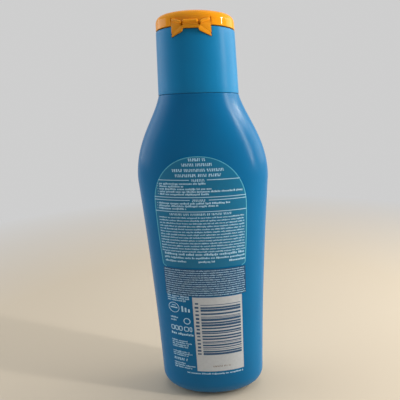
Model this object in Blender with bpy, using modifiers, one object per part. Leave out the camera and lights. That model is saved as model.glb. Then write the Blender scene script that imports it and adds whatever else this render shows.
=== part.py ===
"""An oval sunscreen bottle with a flip-top closure on a butterfly hinge.

The bottle stands on its base at the origin, +Z up. Its wide side runs along X. The rear, with the label and
the hinge, faces -Y, and the thumb side faces +Y. Every length is in metres.
"""
import math

import bmesh
import bpy
from mathutils import Matrix, Vector

MM = 0.001

# Fineness of the round shapes
RING_SEGMENTS = 40
HEEL_STEPS = 4
SIDE_STEPS = 7
SHOULDER_STEPS = 9
INNER_SIDE_STEPS = 4
INNER_SHOULDER_STEPS = 6
ROD_SEGMENTS = 12
SCOOP_SEGMENTS = 24
SOLVE_STEPS = 40

# General clearance
FIT_GAP = 0.3 * MM

# Bottle, outside: half widths are along X and half depths along Y
BASE_HALF_WIDTH = 28.1 * MM
BASE_HALF_DEPTH = 15.2 * MM
HIP_HALF_WIDTH = 32.0 * MM
HIP_HALF_DEPTH = 19.4 * MM
WAIST_DRAW = 0.86 * MM
BELLY_SWELL = 0.5 * MM
HIP_HEIGHT = 118.5 * MM
LEDGE_HALF_WIDTH = 18.7 * MM
LEDGE_HALF_DEPTH = 14.9 * MM
SHOULDER_RISE = 38.4 * MM
HIP_HANDLE = 18.0 * MM
LEDGE_HANDLE = 10.0 * MM
LEDGE_WIDTH_LEAN_SHARE = 0.27
LEDGE_DEPTH_LEAN_SHARE = 0.15
LEDGE_ROUNDING = 0.6 * MM
HEEL_HEIGHT = 9.5 * MM
HEEL_WIDTH_INSET = 10.5 * MM
HEEL_DEPTH_INSET = 7.2 * MM
STANDING_RING_WIDTH = 2.4 * MM
PUSH_UP = 1.5 * MM

# Bottle, inside
BODY_WALL = 1.1 * MM
LEDGE_WALL = 1.5 * MM

# Bottle neck, with its snap bead and the two lugs that turn the closure the right way
NECK_RADIUS = 10.5 * MM
NECK_BORE_RADIUS = 8.9 * MM
NECK_LENGTH = 19.0 * MM
NECK_CHAMFER = 0.5 * MM
NECK_FOOT_RADIUS = 0.9 * MM
BEAD_PROUD = 0.6 * MM
BEAD_BELOW_RIM = 5.0 * MM
BEAD_LAND = 0.5 * MM
BEAD_LEAD_IN = 1.4 * MM
LUG_HEIGHT = 3.4 * MM
LUG_LENGTH = 2.4 * MM
LUG_WIDTH = 4.4 * MM
LUG_ROUNDING = 0.4 * MM

# Closure, outside: skirt and lid share one tapering oval
SEAM_GAP = 0.4 * MM
RIM_HALF_WIDTH = 17.3 * MM
RIM_HALF_DEPTH = 14.1 * MM
DECK_ABOVE_NECK = 7.8 * MM
LID_RISE = 6.3 * MM
SKIRT_WALL = 1.5 * MM
DECK_WALL = 1.5 * MM
SKIRT_EDGE = 0.35 * MM

# Closure, inside: snap sleeve, plug seal, ribs, latch collar and spout
SLEEVE_CLEARANCE = 0.3 * MM
SLEEVE_WALL = 1.1 * MM
SNAP_BEAD_LAND = 0.6 * MM
SNAP_BEAD_RAMP = 0.7 * MM
SLEEVE_LEAD = 2.6 * MM
PLUG_CLEARANCE = 0.35 * MM
PLUG_WALL = 1.0 * MM
PLUG_DEPTH = 3.0 * MM
PLUG_CHAMFER = 0.3 * MM
RIB_THICKNESS = 0.8 * MM
RIB_ABOVE_LEDGE = 1.2 * MM
COLLAR_CLEARANCE = 0.35 * MM
COLLAR_WALL = 0.9 * MM
COLLAR_HEIGHT = 1.5 * MM
COLLAR_CHAMFER = 0.25 * MM
SPOUT_BORE_RADIUS = 3.15 * MM
SPOUT_WALL = 1.0 * MM
SPOUT_BELOW_CEILING = 1.3 * MM
SPOUT_TAPER = 0.4 * MM
SPOUT_LIP = 0.3 * MM
SCOOP_RADIUS = 9.0 * MM
SCOOP_DEPTH = 0.75 * MM
SCOOP_HALF_WIDTH = 7.0 * MM
SCOOP_BELOW_DECK = 3.0 * MM

# Flip lid
LID_GAP = 0.4 * MM
LID_WALL = 1.5 * MM
LID_EDGE_RADIUS = 2.4 * MM
LID_EDGE_STEPS = 4
LID_DOME = 2.2 * MM
LID_DOME_SHARES = (0.8, 0.55, 0.3)
LID_LIP_CHAMFER = 0.3 * MM
LID_PLUG_CLEARANCE = 0.4 * MM
LID_PLUG_WALL = 1.0 * MM
LID_PLUG_DEPTH = 1.8 * MM
LID_PLUG_CHAMFER = 0.3 * MM

# Butterfly hinge: a straight film in the middle and a three-cornered wing on each side
HINGE_PROUD = 0.9 * MM
FILM_GAP = 0.3 * MM
BAR_HALF_LENGTH = 3.2 * MM
STRAP_HEIGHT = 1.1 * MM
ROD_RADIUS = 0.65 * MM
ROD_PROUD = 0.25 * MM
BAND_HEIGHT = 1.1 * MM
WING_APEX_GAP = 0.4 * MM
WING_TOP_OUT = 8.0 * MM
WING_TOP_RISE = 3.0 * MM
WING_FOOT_OUT = 8.3 * MM
WING_FOOT_DROP = 3.1 * MM
WING_TOP_PROUD = 0.25 * MM
WING_FOOT_PROUD = 0.4 * MM
WING_THICKNESS = 0.6 * MM
WING_APEX_HEIGHT = 0.9 * MM
WING_RIDGE = 0.3 * MM
WING_RIDGE_SHARE = 0.45
LEG_ROOT_HEIGHT = 2.0 * MM
LEG_TIP_HEIGHT = 0.9 * MM
POCKET_DEPTH = 0.75 * MM
POCKET_MARGIN = 0.4 * MM
POCKET_PROUD = 3.0 * MM
POCKET_STEPS = 4

# Rear label film
LABEL_GAP = 0.3 * MM
LABEL_THICKNESS = 0.2 * MM
LABEL_HALF_WIDTH = 21.9 * MM
LABEL_FOOT = 13.6 * MM
LABEL_SPRING_BELOW_HIP = 10.5 * MM
LABEL_ARCH_HEIGHT = 23.8 * MM
LABEL_ARCH_POWER = 2.15
LABEL_FOOT_RADIUS = 4.0 * MM
LABEL_COLUMNS = 12
LABEL_SIDE_ROWS = 8
LABEL_ARCH_ROWS = 7
LABEL_CORNER_ROWS = 3
LABEL_ARCH_END = math.radians(84)

# Heights and radii that follow from the sizes above
LEDGE_HEIGHT = HIP_HEIGHT + SHOULDER_RISE
LABEL_SPRING_HEIGHT = HIP_HEIGHT - LABEL_SPRING_BELOW_HIP
NECK_TOP = LEDGE_HEIGHT + NECK_LENGTH
BEAD_RADIUS = NECK_RADIUS + BEAD_PROUD
BEAD_HEIGHT = NECK_TOP - BEAD_BELOW_RIM
SKIRT_FOOT = LEDGE_HEIGHT + SEAM_GAP
DECK_HEIGHT = NECK_TOP + DECK_ABOVE_NECK
RIM_HEIGHT = DECK_HEIGHT + LID_RISE
DECK_UNDERSIDE = DECK_HEIGHT - DECK_WALL
SLEEVE_BORE_RADIUS = BEAD_RADIUS + SLEEVE_CLEARANCE
SLEEVE_RADIUS = SLEEVE_BORE_RADIUS + SLEEVE_WALL
SNAP_BEAD_RADIUS = NECK_RADIUS + FIT_GAP
SNAP_BEAD_TOP = BEAD_HEIGHT - FIT_GAP
SLEEVE_FOOT = SNAP_BEAD_TOP - SNAP_BEAD_LAND - SNAP_BEAD_RAMP - SLEEVE_LEAD
PLUG_RADIUS = NECK_BORE_RADIUS - PLUG_CLEARANCE
PLUG_BORE_RADIUS = PLUG_RADIUS - PLUG_WALL
PLUG_FOOT = NECK_TOP - PLUG_DEPTH
LID_FOOT = DECK_HEIGHT + LID_GAP
LID_CEILING = RIM_HEIGHT - LID_WALL
SPOUT_RADIUS = SPOUT_BORE_RADIUS + SPOUT_WALL
SPOUT_TOP = LID_CEILING - SPOUT_BELOW_CEILING
LID_PLUG_RADIUS = SPOUT_BORE_RADIUS - LID_PLUG_CLEARANCE
LID_PLUG_FOOT = SPOUT_TOP - LID_PLUG_DEPTH
HINGE_HEIGHT = (DECK_HEIGHT + LID_FOOT) / 2


def clear_scene():
    for thing in list(bpy.data.objects):
        bpy.data.objects.remove(thing, do_unlink=True)


def new_collection(name):
    group = bpy.data.collections.new(name)
    bpy.context.scene.collection.children.link(group)
    return group


def plastic(name, colour, roughness):
    material = bpy.data.materials.new(name)
    material.use_nodes = True
    shader = material.node_tree.nodes["Principled BSDF"]
    shader.inputs["Base Color"].default_value = (*colour, 1.0)
    shader.inputs["Roughness"].default_value = roughness
    shader.inputs["Metallic"].default_value = 0.0
    return material


def add_object(name, mesh, group, material=None):
    thing = bpy.data.objects.new(name, mesh)
    group.objects.link(thing)
    if material is not None:
        mesh.materials.append(material)
        mesh.shade_smooth()
        mesh.set_sharp_from_angle(angle=math.radians(30))
    return thing


def loft(name, sections, closed=False):
    """Skins oval rings, each a (half_width, half_depth, height). A ring of no width is a pole.

    A closed loft also joins its last ring to its first. The outside is on the right when the rings go up.
    """
    mesh = bpy.data.meshes.new(name)
    skin = bmesh.new()
    rings = []
    for half_width, half_depth, height in sections:
        if half_width == 0:
            rings.append([skin.verts.new((0, 0, height))] * RING_SEGMENTS)
            continue
        turns = [2 * math.pi * step / RING_SEGMENTS for step in range(RING_SEGMENTS)]
        places = [(half_width * math.cos(turn), half_depth * math.sin(turn), height) for turn in turns]
        rings.append([skin.verts.new(place) for place in places])
    pairs = list(zip(rings, rings[1:]))
    if closed:
        pairs.append((rings[-1], rings[0]))
    for low, high in pairs:
        for step in range(RING_SEGMENTS):
            after = (step + 1) % RING_SEGMENTS
            corners = [low[step], low[after], high[after], high[step]]
            skin.faces.new(list(dict.fromkeys(corners)))
    skin.to_mesh(mesh)
    skin.free()
    return mesh


def bezier(ends, handles, share):
    start, finish = ends
    first, second = handles
    rest = 1 - share
    return start * rest**3 + first * 3 * rest**2 * share + second * 3 * rest * share**2 + finish * share**3


def shoulder_half(height, hip_half, ledge_half, lean_share):
    """Half size of the shoulder at a height: a curve that leaves the hip upright and meets the ledge leaning."""
    hip = Vector((hip_half, HIP_HEIGHT))
    ledge = Vector((ledge_half, LEDGE_HEIGHT))
    first = hip + Vector((0, HIP_HANDLE))
    second = ledge + Vector((lean_share, -1)).normalized() * LEDGE_HANDLE
    low, high = 0.0, 1.0
    for _ in range(SOLVE_STEPS):
        middle = (low + high) / 2
        if bezier((hip, ledge), (first, second), middle).y < height:
            low = middle
        else:
            high = middle
    return bezier((hip, ledge), (first, second), low).x


def side_half(height, base_half, hip_half, draw):
    """Half size of the long sides, which taper to the base and are drawn in a little half way up."""
    share = height / HIP_HEIGHT
    return base_half + (hip_half - base_half) * share - 4 * draw * share * (1 - share)


def bottle_half(height):
    """Half width and half depth of the bottle's outside, without the heel's rounding."""
    if height <= HIP_HEIGHT:
        half_width = side_half(height, BASE_HALF_WIDTH, HIP_HALF_WIDTH, WAIST_DRAW)
        half_depth = side_half(height, BASE_HALF_DEPTH, HIP_HALF_DEPTH, -BELLY_SWELL)
    else:
        half_width = shoulder_half(height, HIP_HALF_WIDTH, LEDGE_HALF_WIDTH, LEDGE_WIDTH_LEAN_SHARE)
        half_depth = shoulder_half(height, HIP_HALF_DEPTH, LEDGE_HALF_DEPTH, LEDGE_DEPTH_LEAN_SHARE)
    return half_width, half_depth


def cap_half(height):
    """Half width and half depth of the closure's outside."""
    share = (height - LEDGE_HEIGHT) / (RIM_HEIGHT - LEDGE_HEIGHT)
    half_width = LEDGE_HALF_WIDTH + (RIM_HALF_WIDTH - LEDGE_HALF_WIDTH) * share
    half_depth = LEDGE_HALF_DEPTH + (RIM_HALF_DEPTH - LEDGE_HALF_DEPTH) * share
    return half_width, half_depth


def inset_ring(half, inset, height):
    return half[0] - inset, half[1] - inset, height


def spaced(start, finish, steps):
    return [start + (finish - start) * step / steps for step in range(steps + 1)]


def rear_point(half, across, height, proud):
    """A point on the rear of an oval at a place across, standing proud of it."""
    half_width, half_depth = half
    depth = half_depth * math.sqrt(1 - (across / half_width) ** 2)
    return Vector((across, -(depth + proud), height))


def heel_sections(floor, wall):
    """The rounded heel from the standing ring out to the side, for the outside or, within a wall, the inside."""
    rings = []
    for turn in spaced(0, math.pi / 2, HEEL_STEPS):
        height = floor + (HEEL_HEIGHT - floor) * (1 - math.cos(turn))
        half_width, half_depth = bottle_half(height)
        half_width -= wall + HEEL_WIDTH_INSET * (1 - math.sin(turn))
        half_depth -= wall + HEEL_DEPTH_INSET * (1 - math.sin(turn))
        rings.append((half_width, half_depth, height))
    return rings


def bottle_outside():
    heel = heel_sections(0, 0)
    standing = heel[0][:2]
    rings = [(0, 0, PUSH_UP), inset_ring(standing, STANDING_RING_WIDTH + PUSH_UP, PUSH_UP)]
    rings.append(inset_ring(standing, STANDING_RING_WIDTH, 0))
    rings += heel
    for height in spaced(HEEL_HEIGHT, HIP_HEIGHT, SIDE_STEPS)[1:]:
        rings.append((*bottle_half(height), height))
    for height in spaced(HIP_HEIGHT, LEDGE_HEIGHT - LEDGE_ROUNDING, SHOULDER_STEPS)[1:]:
        rings.append((*bottle_half(height), height))
    corner = LEDGE_ROUNDING * (1 - math.cos(math.pi / 4))
    rings.append(inset_ring(bottle_half(LEDGE_HEIGHT), corner, LEDGE_HEIGHT - corner))
    rings.append(inset_ring(bottle_half(LEDGE_HEIGHT), LEDGE_ROUNDING, LEDGE_HEIGHT))
    return rings


def neck_outside():
    rings = [
        (NECK_RADIUS + NECK_FOOT_RADIUS, LEDGE_HEIGHT),
        (NECK_RADIUS, LEDGE_HEIGHT + NECK_FOOT_RADIUS),
        (NECK_RADIUS, BEAD_HEIGHT),
        (BEAD_RADIUS, BEAD_HEIGHT + BEAD_PROUD),
        (BEAD_RADIUS, BEAD_HEIGHT + BEAD_PROUD + BEAD_LAND),
        (NECK_RADIUS, BEAD_HEIGHT + BEAD_PROUD + BEAD_LAND + BEAD_LEAD_IN),
        (NECK_RADIUS, NECK_TOP - NECK_CHAMFER),
        (NECK_RADIUS - NECK_CHAMFER, NECK_TOP),
        (NECK_BORE_RADIUS, NECK_TOP),
    ]
    return [(radius, radius, height) for radius, height in rings]


def bottle_inside():
    ceiling = LEDGE_HEIGHT - LEDGE_WALL
    rings = [(NECK_BORE_RADIUS, NECK_BORE_RADIUS, ceiling)]
    for height in spaced(ceiling, HIP_HEIGHT, INNER_SHOULDER_STEPS):
        rings.append(inset_ring(bottle_half(height), BODY_WALL, height))
    for height in spaced(HIP_HEIGHT, HEEL_HEIGHT, INNER_SIDE_STEPS)[1:-1]:
        rings.append(inset_ring(bottle_half(height), BODY_WALL, height))
    floor = PUSH_UP + BODY_WALL
    rings += reversed(heel_sections(floor, BODY_WALL))
    rings.append((0, 0, floor))
    return rings


def lug_box():
    """A block that stands on the ledge beside the neck, at the +X side, and reaches a little into both."""
    inner = NECK_RADIUS + NECK_FOOT_RADIUS + FIT_GAP
    size = (LUG_LENGTH, LUG_WIDTH, LUG_HEIGHT + LEDGE_WALL / 2)
    centre = (inner + LUG_LENGTH / 2, 0, LEDGE_HEIGHT + LUG_HEIGHT - size[2] / 2)
    return size, centre


def box_object(name, size, centre, group):
    mesh = bpy.data.meshes.new(name)
    block = bmesh.new()
    bmesh.ops.create_cube(block, size=1.0, matrix=Matrix.Translation(centre) @ Matrix.Diagonal((*size, 1)))
    block.to_mesh(mesh)
    block.free()
    return add_object(name, mesh, group)


def cutter_look(thing):
    thing.hide_render = True
    thing.display_type = "WIRE"
    return thing


def apply_boolean(target, tool, operation):
    change = target.modifiers.new(f"{operation.lower()}_{tool.name}", "BOOLEAN")
    change.operation = operation
    change.solver = "EXACT"
    change.object = tool
    cutter_look(tool)


def make_bottle(parts, cutters, material):
    mesh = loft("bottle_body", bottle_outside() + neck_outside() + bottle_inside())
    bottle = add_object("bottle_body", mesh, parts, material)
    size, centre = lug_box()
    for side, name in ((1, "lug_right"), (-1, "lug_left")):
        lug = box_object(name, size, (side * centre[0], 0, centre[2]), cutters)
        rounding = lug.modifiers.new("rounding", "BEVEL")
        rounding.width = LUG_ROUNDING
        rounding.segments = 1
        apply_boolean(bottle, lug, "UNION")
    return bottle


def label_half(height):
    """Half width of the label film: rounded at the foot, straight, then an arch."""
    if height < LABEL_FOOT + LABEL_FOOT_RADIUS:
        drop = LABEL_FOOT + LABEL_FOOT_RADIUS - height
        return LABEL_HALF_WIDTH - LABEL_FOOT_RADIUS + math.sqrt(max(0, LABEL_FOOT_RADIUS**2 - drop**2))
    if height <= LABEL_SPRING_HEIGHT:
        return LABEL_HALF_WIDTH
    rise_share = min(1, (height - LABEL_SPRING_HEIGHT) / LABEL_ARCH_HEIGHT)
    return LABEL_HALF_WIDTH * (1 - rise_share**LABEL_ARCH_POWER) ** (1 / LABEL_ARCH_POWER)


def label_rows():
    foot_turns = spaced(0, math.pi / 2, LABEL_CORNER_ROWS)
    rows = [LABEL_FOOT + LABEL_FOOT_RADIUS * (1 - math.cos(turn)) for turn in foot_turns]
    rows += spaced(LABEL_FOOT + LABEL_FOOT_RADIUS, LABEL_SPRING_HEIGHT, LABEL_SIDE_ROWS)[1:]
    arch_turns = spaced(0, LABEL_ARCH_END, LABEL_ARCH_ROWS)[1:]
    rows += [LABEL_SPRING_HEIGHT + LABEL_ARCH_HEIGHT * math.sin(turn) for turn in arch_turns]
    return rows


def make_label(parts, material):
    """A thin film that follows the bottle's rear: an open sheet with a thickness."""
    mesh = bpy.data.meshes.new("rear_label")
    sheet = bmesh.new()
    grid = []
    for height in label_rows():
        half = bottle_half(height)
        reach = label_half(height)
        across = spaced(-reach, reach, LABEL_COLUMNS)
        grid.append([sheet.verts.new(rear_point(half, place, height, LABEL_GAP)) for place in across])
    for low, high in zip(grid, grid[1:]):
        for left in range(LABEL_COLUMNS):
            sheet.faces.new((low[left], low[left + 1], high[left + 1], high[left]))
    sheet.to_mesh(mesh)
    sheet.free()
    label = add_object("rear_label", mesh, parts, material)
    film = label.modifiers.new("film", "SOLIDIFY")
    film.thickness = LABEL_THICKNESS
    film.offset = 1.0
    return label


def round_rings(outline):
    return [(radius, radius, height) for radius, height in outline]


def closure_sections():
    """One loop of rings: up the skirt, over deck, collar and spout, then down plug, sleeve and skirt inside."""
    deck_half = cap_half(DECK_HEIGHT)
    collar_outer = LID_WALL + COLLAR_CLEARANCE
    collar_inner = collar_outer + COLLAR_WALL
    collar_top = DECK_HEIGHT + COLLAR_HEIGHT
    rings = [inset_ring(cap_half(SKIRT_FOOT), 0, SKIRT_FOOT)]
    rings.append((*cap_half(DECK_HEIGHT - SKIRT_EDGE), DECK_HEIGHT - SKIRT_EDGE))
    rings.append(inset_ring(deck_half, SKIRT_EDGE, DECK_HEIGHT))
    rings.append(inset_ring(deck_half, collar_outer, DECK_HEIGHT))
    rings.append(inset_ring(deck_half, collar_outer, collar_top - COLLAR_CHAMFER))
    rings.append(inset_ring(deck_half, collar_outer + COLLAR_CHAMFER, collar_top))
    rings.append(inset_ring(deck_half, collar_inner, collar_top))
    rings.append(inset_ring(deck_half, collar_inner, DECK_HEIGHT))
    rings += round_rings([
        (SPOUT_RADIUS + SPOUT_TAPER, DECK_HEIGHT),
        (SPOUT_RADIUS, SPOUT_TOP - SPOUT_LIP),
        (SPOUT_RADIUS - SPOUT_LIP, SPOUT_TOP),
        (SPOUT_BORE_RADIUS, SPOUT_TOP),
        (SPOUT_BORE_RADIUS, DECK_UNDERSIDE),
        (PLUG_BORE_RADIUS, DECK_UNDERSIDE),
        (PLUG_BORE_RADIUS, PLUG_FOOT),
        (PLUG_RADIUS - PLUG_CHAMFER, PLUG_FOOT),
        (PLUG_RADIUS, PLUG_FOOT + PLUG_CHAMFER),
        (PLUG_RADIUS, DECK_UNDERSIDE),
        (SLEEVE_BORE_RADIUS, DECK_UNDERSIDE),
        (SLEEVE_BORE_RADIUS, SNAP_BEAD_TOP + BEAD_PROUD),
        (SNAP_BEAD_RADIUS, SNAP_BEAD_TOP),
        (SNAP_BEAD_RADIUS, SNAP_BEAD_TOP - SNAP_BEAD_LAND),
        (SLEEVE_BORE_RADIUS, SNAP_BEAD_TOP - SNAP_BEAD_LAND - SNAP_BEAD_RAMP),
        (SLEEVE_BORE_RADIUS, SLEEVE_FOOT),
        (SLEEVE_RADIUS, SLEEVE_FOOT),
        (SLEEVE_RADIUS, DECK_UNDERSIDE),
    ])
    rings.append(inset_ring(cap_half(DECK_UNDERSIDE), SKIRT_WALL, DECK_UNDERSIDE))
    rings.append(inset_ring(cap_half(SKIRT_FOOT), SKIRT_WALL, SKIRT_FOOT))
    return rings


def add_ribs(closure, cutters):
    """Four ribs that tie the sleeve to the skirt and take the bottle's lugs between them."""
    rib_foot = LEDGE_HEIGHT + RIB_ABOVE_LEDGE
    rib_top = DECK_UNDERSIDE + DECK_WALL / 2
    inner = NECK_RADIUS + NECK_FOOT_RADIUS + SLEEVE_WALL
    outer = cap_half(rib_top)[0] - SKIRT_WALL / 2
    offset = (LUG_WIDTH + RIB_THICKNESS) / 2 + FIT_GAP
    size = (outer - inner, RIB_THICKNESS, rib_top - rib_foot)
    for side in (1, -1):
        for edge in (1, -1):
            name = f"rib_{'right' if side > 0 else 'left'}_{'front' if edge > 0 else 'rear'}"
            centre = (side * (inner + outer) / 2, edge * offset, (rib_foot + rib_top) / 2)
            apply_boolean(closure, box_object(name, size, centre, cutters), "UNION")


def cut_scoop(closure, cutters):
    """The thumb scoop under the lid's front lip, a shallow cut by a lying drum with round ends."""
    mesh = bpy.data.meshes.new("thumb_scoop")
    drum = bmesh.new()
    rows = SCOOP_SEGMENTS // 2
    bmesh.ops.create_uvsphere(drum, u_segments=SCOOP_SEGMENTS, v_segments=rows, radius=SCOOP_RADIUS)
    drum.to_mesh(mesh)
    drum.free()
    scoop = add_object("thumb_scoop", mesh, cutters)
    height = DECK_HEIGHT - SCOOP_BELOW_DECK
    front = cap_half(height)[1]
    reach = math.sqrt(SCOOP_RADIUS**2 - (SCOOP_RADIUS - SCOOP_DEPTH) ** 2)
    scoop.scale = (SCOOP_HALF_WIDTH / reach, 1, 1)
    scoop.location = (0, front - SCOOP_DEPTH + SCOOP_RADIUS, height)
    apply_boolean(closure, scoop, "DIFFERENCE")


def hinge_points():
    """The film's corner points on the +X side: apex on the hinge line, top on the lid, foot on the skirt."""
    line_depth = cap_half(HINGE_HEIGHT)[1] + HINGE_PROUD
    apex = Vector((BAR_HALF_LENGTH + WING_APEX_GAP, -line_depth, HINGE_HEIGHT))
    top_height = HINGE_HEIGHT + WING_TOP_RISE
    foot_height = HINGE_HEIGHT - WING_FOOT_DROP
    top = rear_point(cap_half(top_height), WING_TOP_OUT, top_height, WING_TOP_PROUD)
    foot = rear_point(cap_half(foot_height), WING_FOOT_OUT, foot_height, WING_FOOT_PROUD)
    return apex, top, foot


def rear_slab(name, columns, inner, outer, group, material=None):
    """A slab on the closure's rear. Each column is (across, low, high); inner and outer are how far proud."""
    mesh = bpy.data.meshes.new(name)
    slab = bmesh.new()
    rings = []
    for across, low, high in columns:
        corners = [(low, outer(across)), (high, outer(across)), (high, inner(across)), (low, inner(across))]
        rings.append([slab.verts.new(rear_point(cap_half(z), across, z, proud)) for z, proud in corners])
    for left, right in zip(rings, rings[1:]):
        for edge in range(4):
            after = (edge + 1) % 4
            slab.faces.new((left[edge], right[edge], right[after], left[after]))
    slab.faces.new(rings[0])
    slab.faces.new(list(reversed(rings[-1])))
    bmesh.ops.recalc_face_normals(slab, faces=slab.faces)
    slab.to_mesh(mesh)
    slab.free()
    return add_object(name, mesh, group, material)


def mirrored_columns(half_columns):
    """Adds the -X columns to a list that runs from the middle out to +X."""
    return [(-across, low, high) for across, low, high in reversed(half_columns)] + half_columns


def anchor_half():
    """The +X half of the orange band under the straight film, and its leg under the wing's lower film line."""
    apex, _, foot = hinge_points()
    top = HINGE_HEIGHT - FILM_GAP / 2
    columns = [(BAR_HALF_LENGTH, top - BAND_HEIGHT, top)]
    for share in spaced(0, 1, POCKET_STEPS):
        across = apex.x + (foot.x - apex.x) * share
        edge = apex.z + (foot.z - apex.z) * share - FILM_GAP
        leg_height = LEG_ROOT_HEIGHT + (LEG_TIP_HEIGHT - LEG_ROOT_HEIGHT) * share
        columns.append((across, edge - leg_height, edge))
    return columns


def pocket_columns():
    """The pocket that the anchor, the wings and the strap lie in, drawn round their outline."""
    apex, top, foot = hinge_points()
    inner_high = HINGE_HEIGHT + FILM_GAP / 2 + STRAP_HEIGHT + POCKET_MARGIN
    outer_high = top.z + POCKET_MARGIN
    columns = []
    for across, low, _ in anchor_half():
        share = max(0, (across - apex.x) / (foot.x - apex.x))
        columns.append((across, low - POCKET_MARGIN, inner_high + (outer_high - inner_high) * share))
    _, last_low, last_high = columns[-1]
    columns.append((foot.x + POCKET_MARGIN, last_low, last_high))
    return mirrored_columns(columns)


def make_pocket(cutters):
    def floor(across):
        return -POCKET_DEPTH

    def lid(across):
        return POCKET_PROUD

    return rear_slab("hinge_pocket", pocket_columns(), floor, lid, cutters)


def make_closure(parts, cutters, pocket, material):
    closure = add_object("cap_base", loft("cap_base", closure_sections(), closed=True), parts, material)
    add_ribs(closure, cutters)
    cut_scoop(closure, cutters)
    apply_boolean(closure, pocket, "DIFFERENCE")
    return closure


def film_proud(across):
    """How far the film stands proud: level along the middle bar, then straight towards the wing's foot."""
    apex, _, foot = hinge_points()
    place = min(abs(across), foot.x)
    share = max(0, (place - apex.x) / (foot.x - apex.x))
    depth = -(apex.y + (foot.y - apex.y) * share)
    height = apex.z + (foot.z - apex.z) * share
    return depth + rear_point(cap_half(height), place, height, 0).y


def make_anchor(parts, material):
    def back(across):
        return -POCKET_DEPTH + FIT_GAP

    return rear_slab("hinge_anchor", mirrored_columns(anchor_half()), back, film_proud, parts, material)


def lid_sections():
    """Rings from the plug's middle out under the ceiling, down the inside, round the lip and up over the dome."""
    slope = 2 * LID_DOME / (RIM_HALF_WIDTH - LID_EDGE_RADIUS)
    edge_end = math.pi / 2 - math.atan(slope)
    plug_inner = LID_PLUG_RADIUS - LID_PLUG_WALL
    rings = [(0, 0, LID_CEILING)]
    rings += round_rings([
        (plug_inner, LID_CEILING),
        (plug_inner, LID_PLUG_FOOT),
        (LID_PLUG_RADIUS - LID_PLUG_CHAMFER, LID_PLUG_FOOT),
        (LID_PLUG_RADIUS, LID_PLUG_FOOT + LID_PLUG_CHAMFER),
        (LID_PLUG_RADIUS, LID_CEILING),
    ])
    rings.append(inset_ring(cap_half(LID_CEILING), LID_WALL + LID_EDGE_RADIUS / 2, LID_CEILING))
    shoulder = LID_CEILING - LID_EDGE_RADIUS / 2
    rings.append(inset_ring(cap_half(shoulder), LID_WALL, shoulder))
    rings.append(inset_ring(cap_half(LID_FOOT), LID_WALL, LID_FOOT))
    rings.append(inset_ring(cap_half(LID_FOOT), LID_LIP_CHAMFER, LID_FOOT))
    rings.append((*cap_half(LID_FOOT + LID_LIP_CHAMFER), LID_FOOT + LID_LIP_CHAMFER))
    for turn in spaced(0, edge_end, LID_EDGE_STEPS):
        height = RIM_HEIGHT - LID_EDGE_RADIUS * (1 - math.sin(turn))
        rings.append(inset_ring(cap_half(height), LID_EDGE_RADIUS * (1 - math.cos(turn)), height))
    edge_half = rings[-1]
    for share in LID_DOME_SHARES:
        height = edge_half[2] + LID_DOME * (1 - share**2)
        rings.append((edge_half[0] * share, edge_half[1] * share, height))
    rings.append((0, 0, edge_half[2] + LID_DOME))
    return rings


def add_strap(lid, cutters):
    """The block and the rod at the foot of the lid's rear that the straight film hangs from."""
    apex, _, _ = hinge_points()
    foot = HINGE_HEIGHT + FILM_GAP / 2
    inner = -(cap_half(foot)[1] - LID_WALL / 2 - POCKET_DEPTH / 2)
    size = (2 * BAR_HALF_LENGTH, inner - apex.y, STRAP_HEIGHT)
    centre = (0, (inner + apex.y) / 2, foot + STRAP_HEIGHT / 2)
    strap = box_object("strap_block", size, centre, cutters)
    mesh = bpy.data.meshes.new("strap_rod")
    rod = bmesh.new()
    turn = Matrix.Rotation(math.pi / 2, 4, "Y")
    place = Matrix.Translation((0, apex.y - ROD_PROUD + ROD_RADIUS, foot + STRAP_HEIGHT)) @ turn
    length = size[0] - FIT_GAP
    bmesh.ops.create_cone(rod, cap_ends=True, segments=ROD_SEGMENTS, radius1=ROD_RADIUS, radius2=ROD_RADIUS,
                          depth=length, matrix=place)
    rod.to_mesh(mesh)
    rod.free()
    apply_boolean(lid, strap, "UNION")
    apply_boolean(lid, add_object("strap_rod", mesh, cutters), "UNION")


def make_lid(parts, cutters, pocket, material):
    lid = add_object("flip_lid", loft("flip_lid", lid_sections()), parts, material)
    apply_boolean(lid, pocket, "DIFFERENCE")
    add_strap(lid, cutters)
    return lid


def square_to(edge, corner):
    """The direction square to an edge, from the apex, that points towards the triangle's other corner."""
    return (corner - edge * corner.dot(edge)).normalized()


def wing_corners():
    """The +X wing's outer face: the films' triangle, drawn in from its neighbours and blunt at the apex."""
    apex, top, foot = hinge_points()
    to_top = (top - apex).normalized()
    to_foot = (foot - apex).normalized()
    near = apex + (to_top + to_foot).normalized() * (WING_APEX_HEIGHT / 2)
    half_blunt = (top - foot).normalized() * (WING_APEX_HEIGHT / 4)
    return [
        foot + square_to(to_foot, top - apex) * FILM_GAP,
        top + square_to(to_top, foot - apex) * FILM_GAP,
        near + half_blunt,
        near - half_blunt,
    ]


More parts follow.
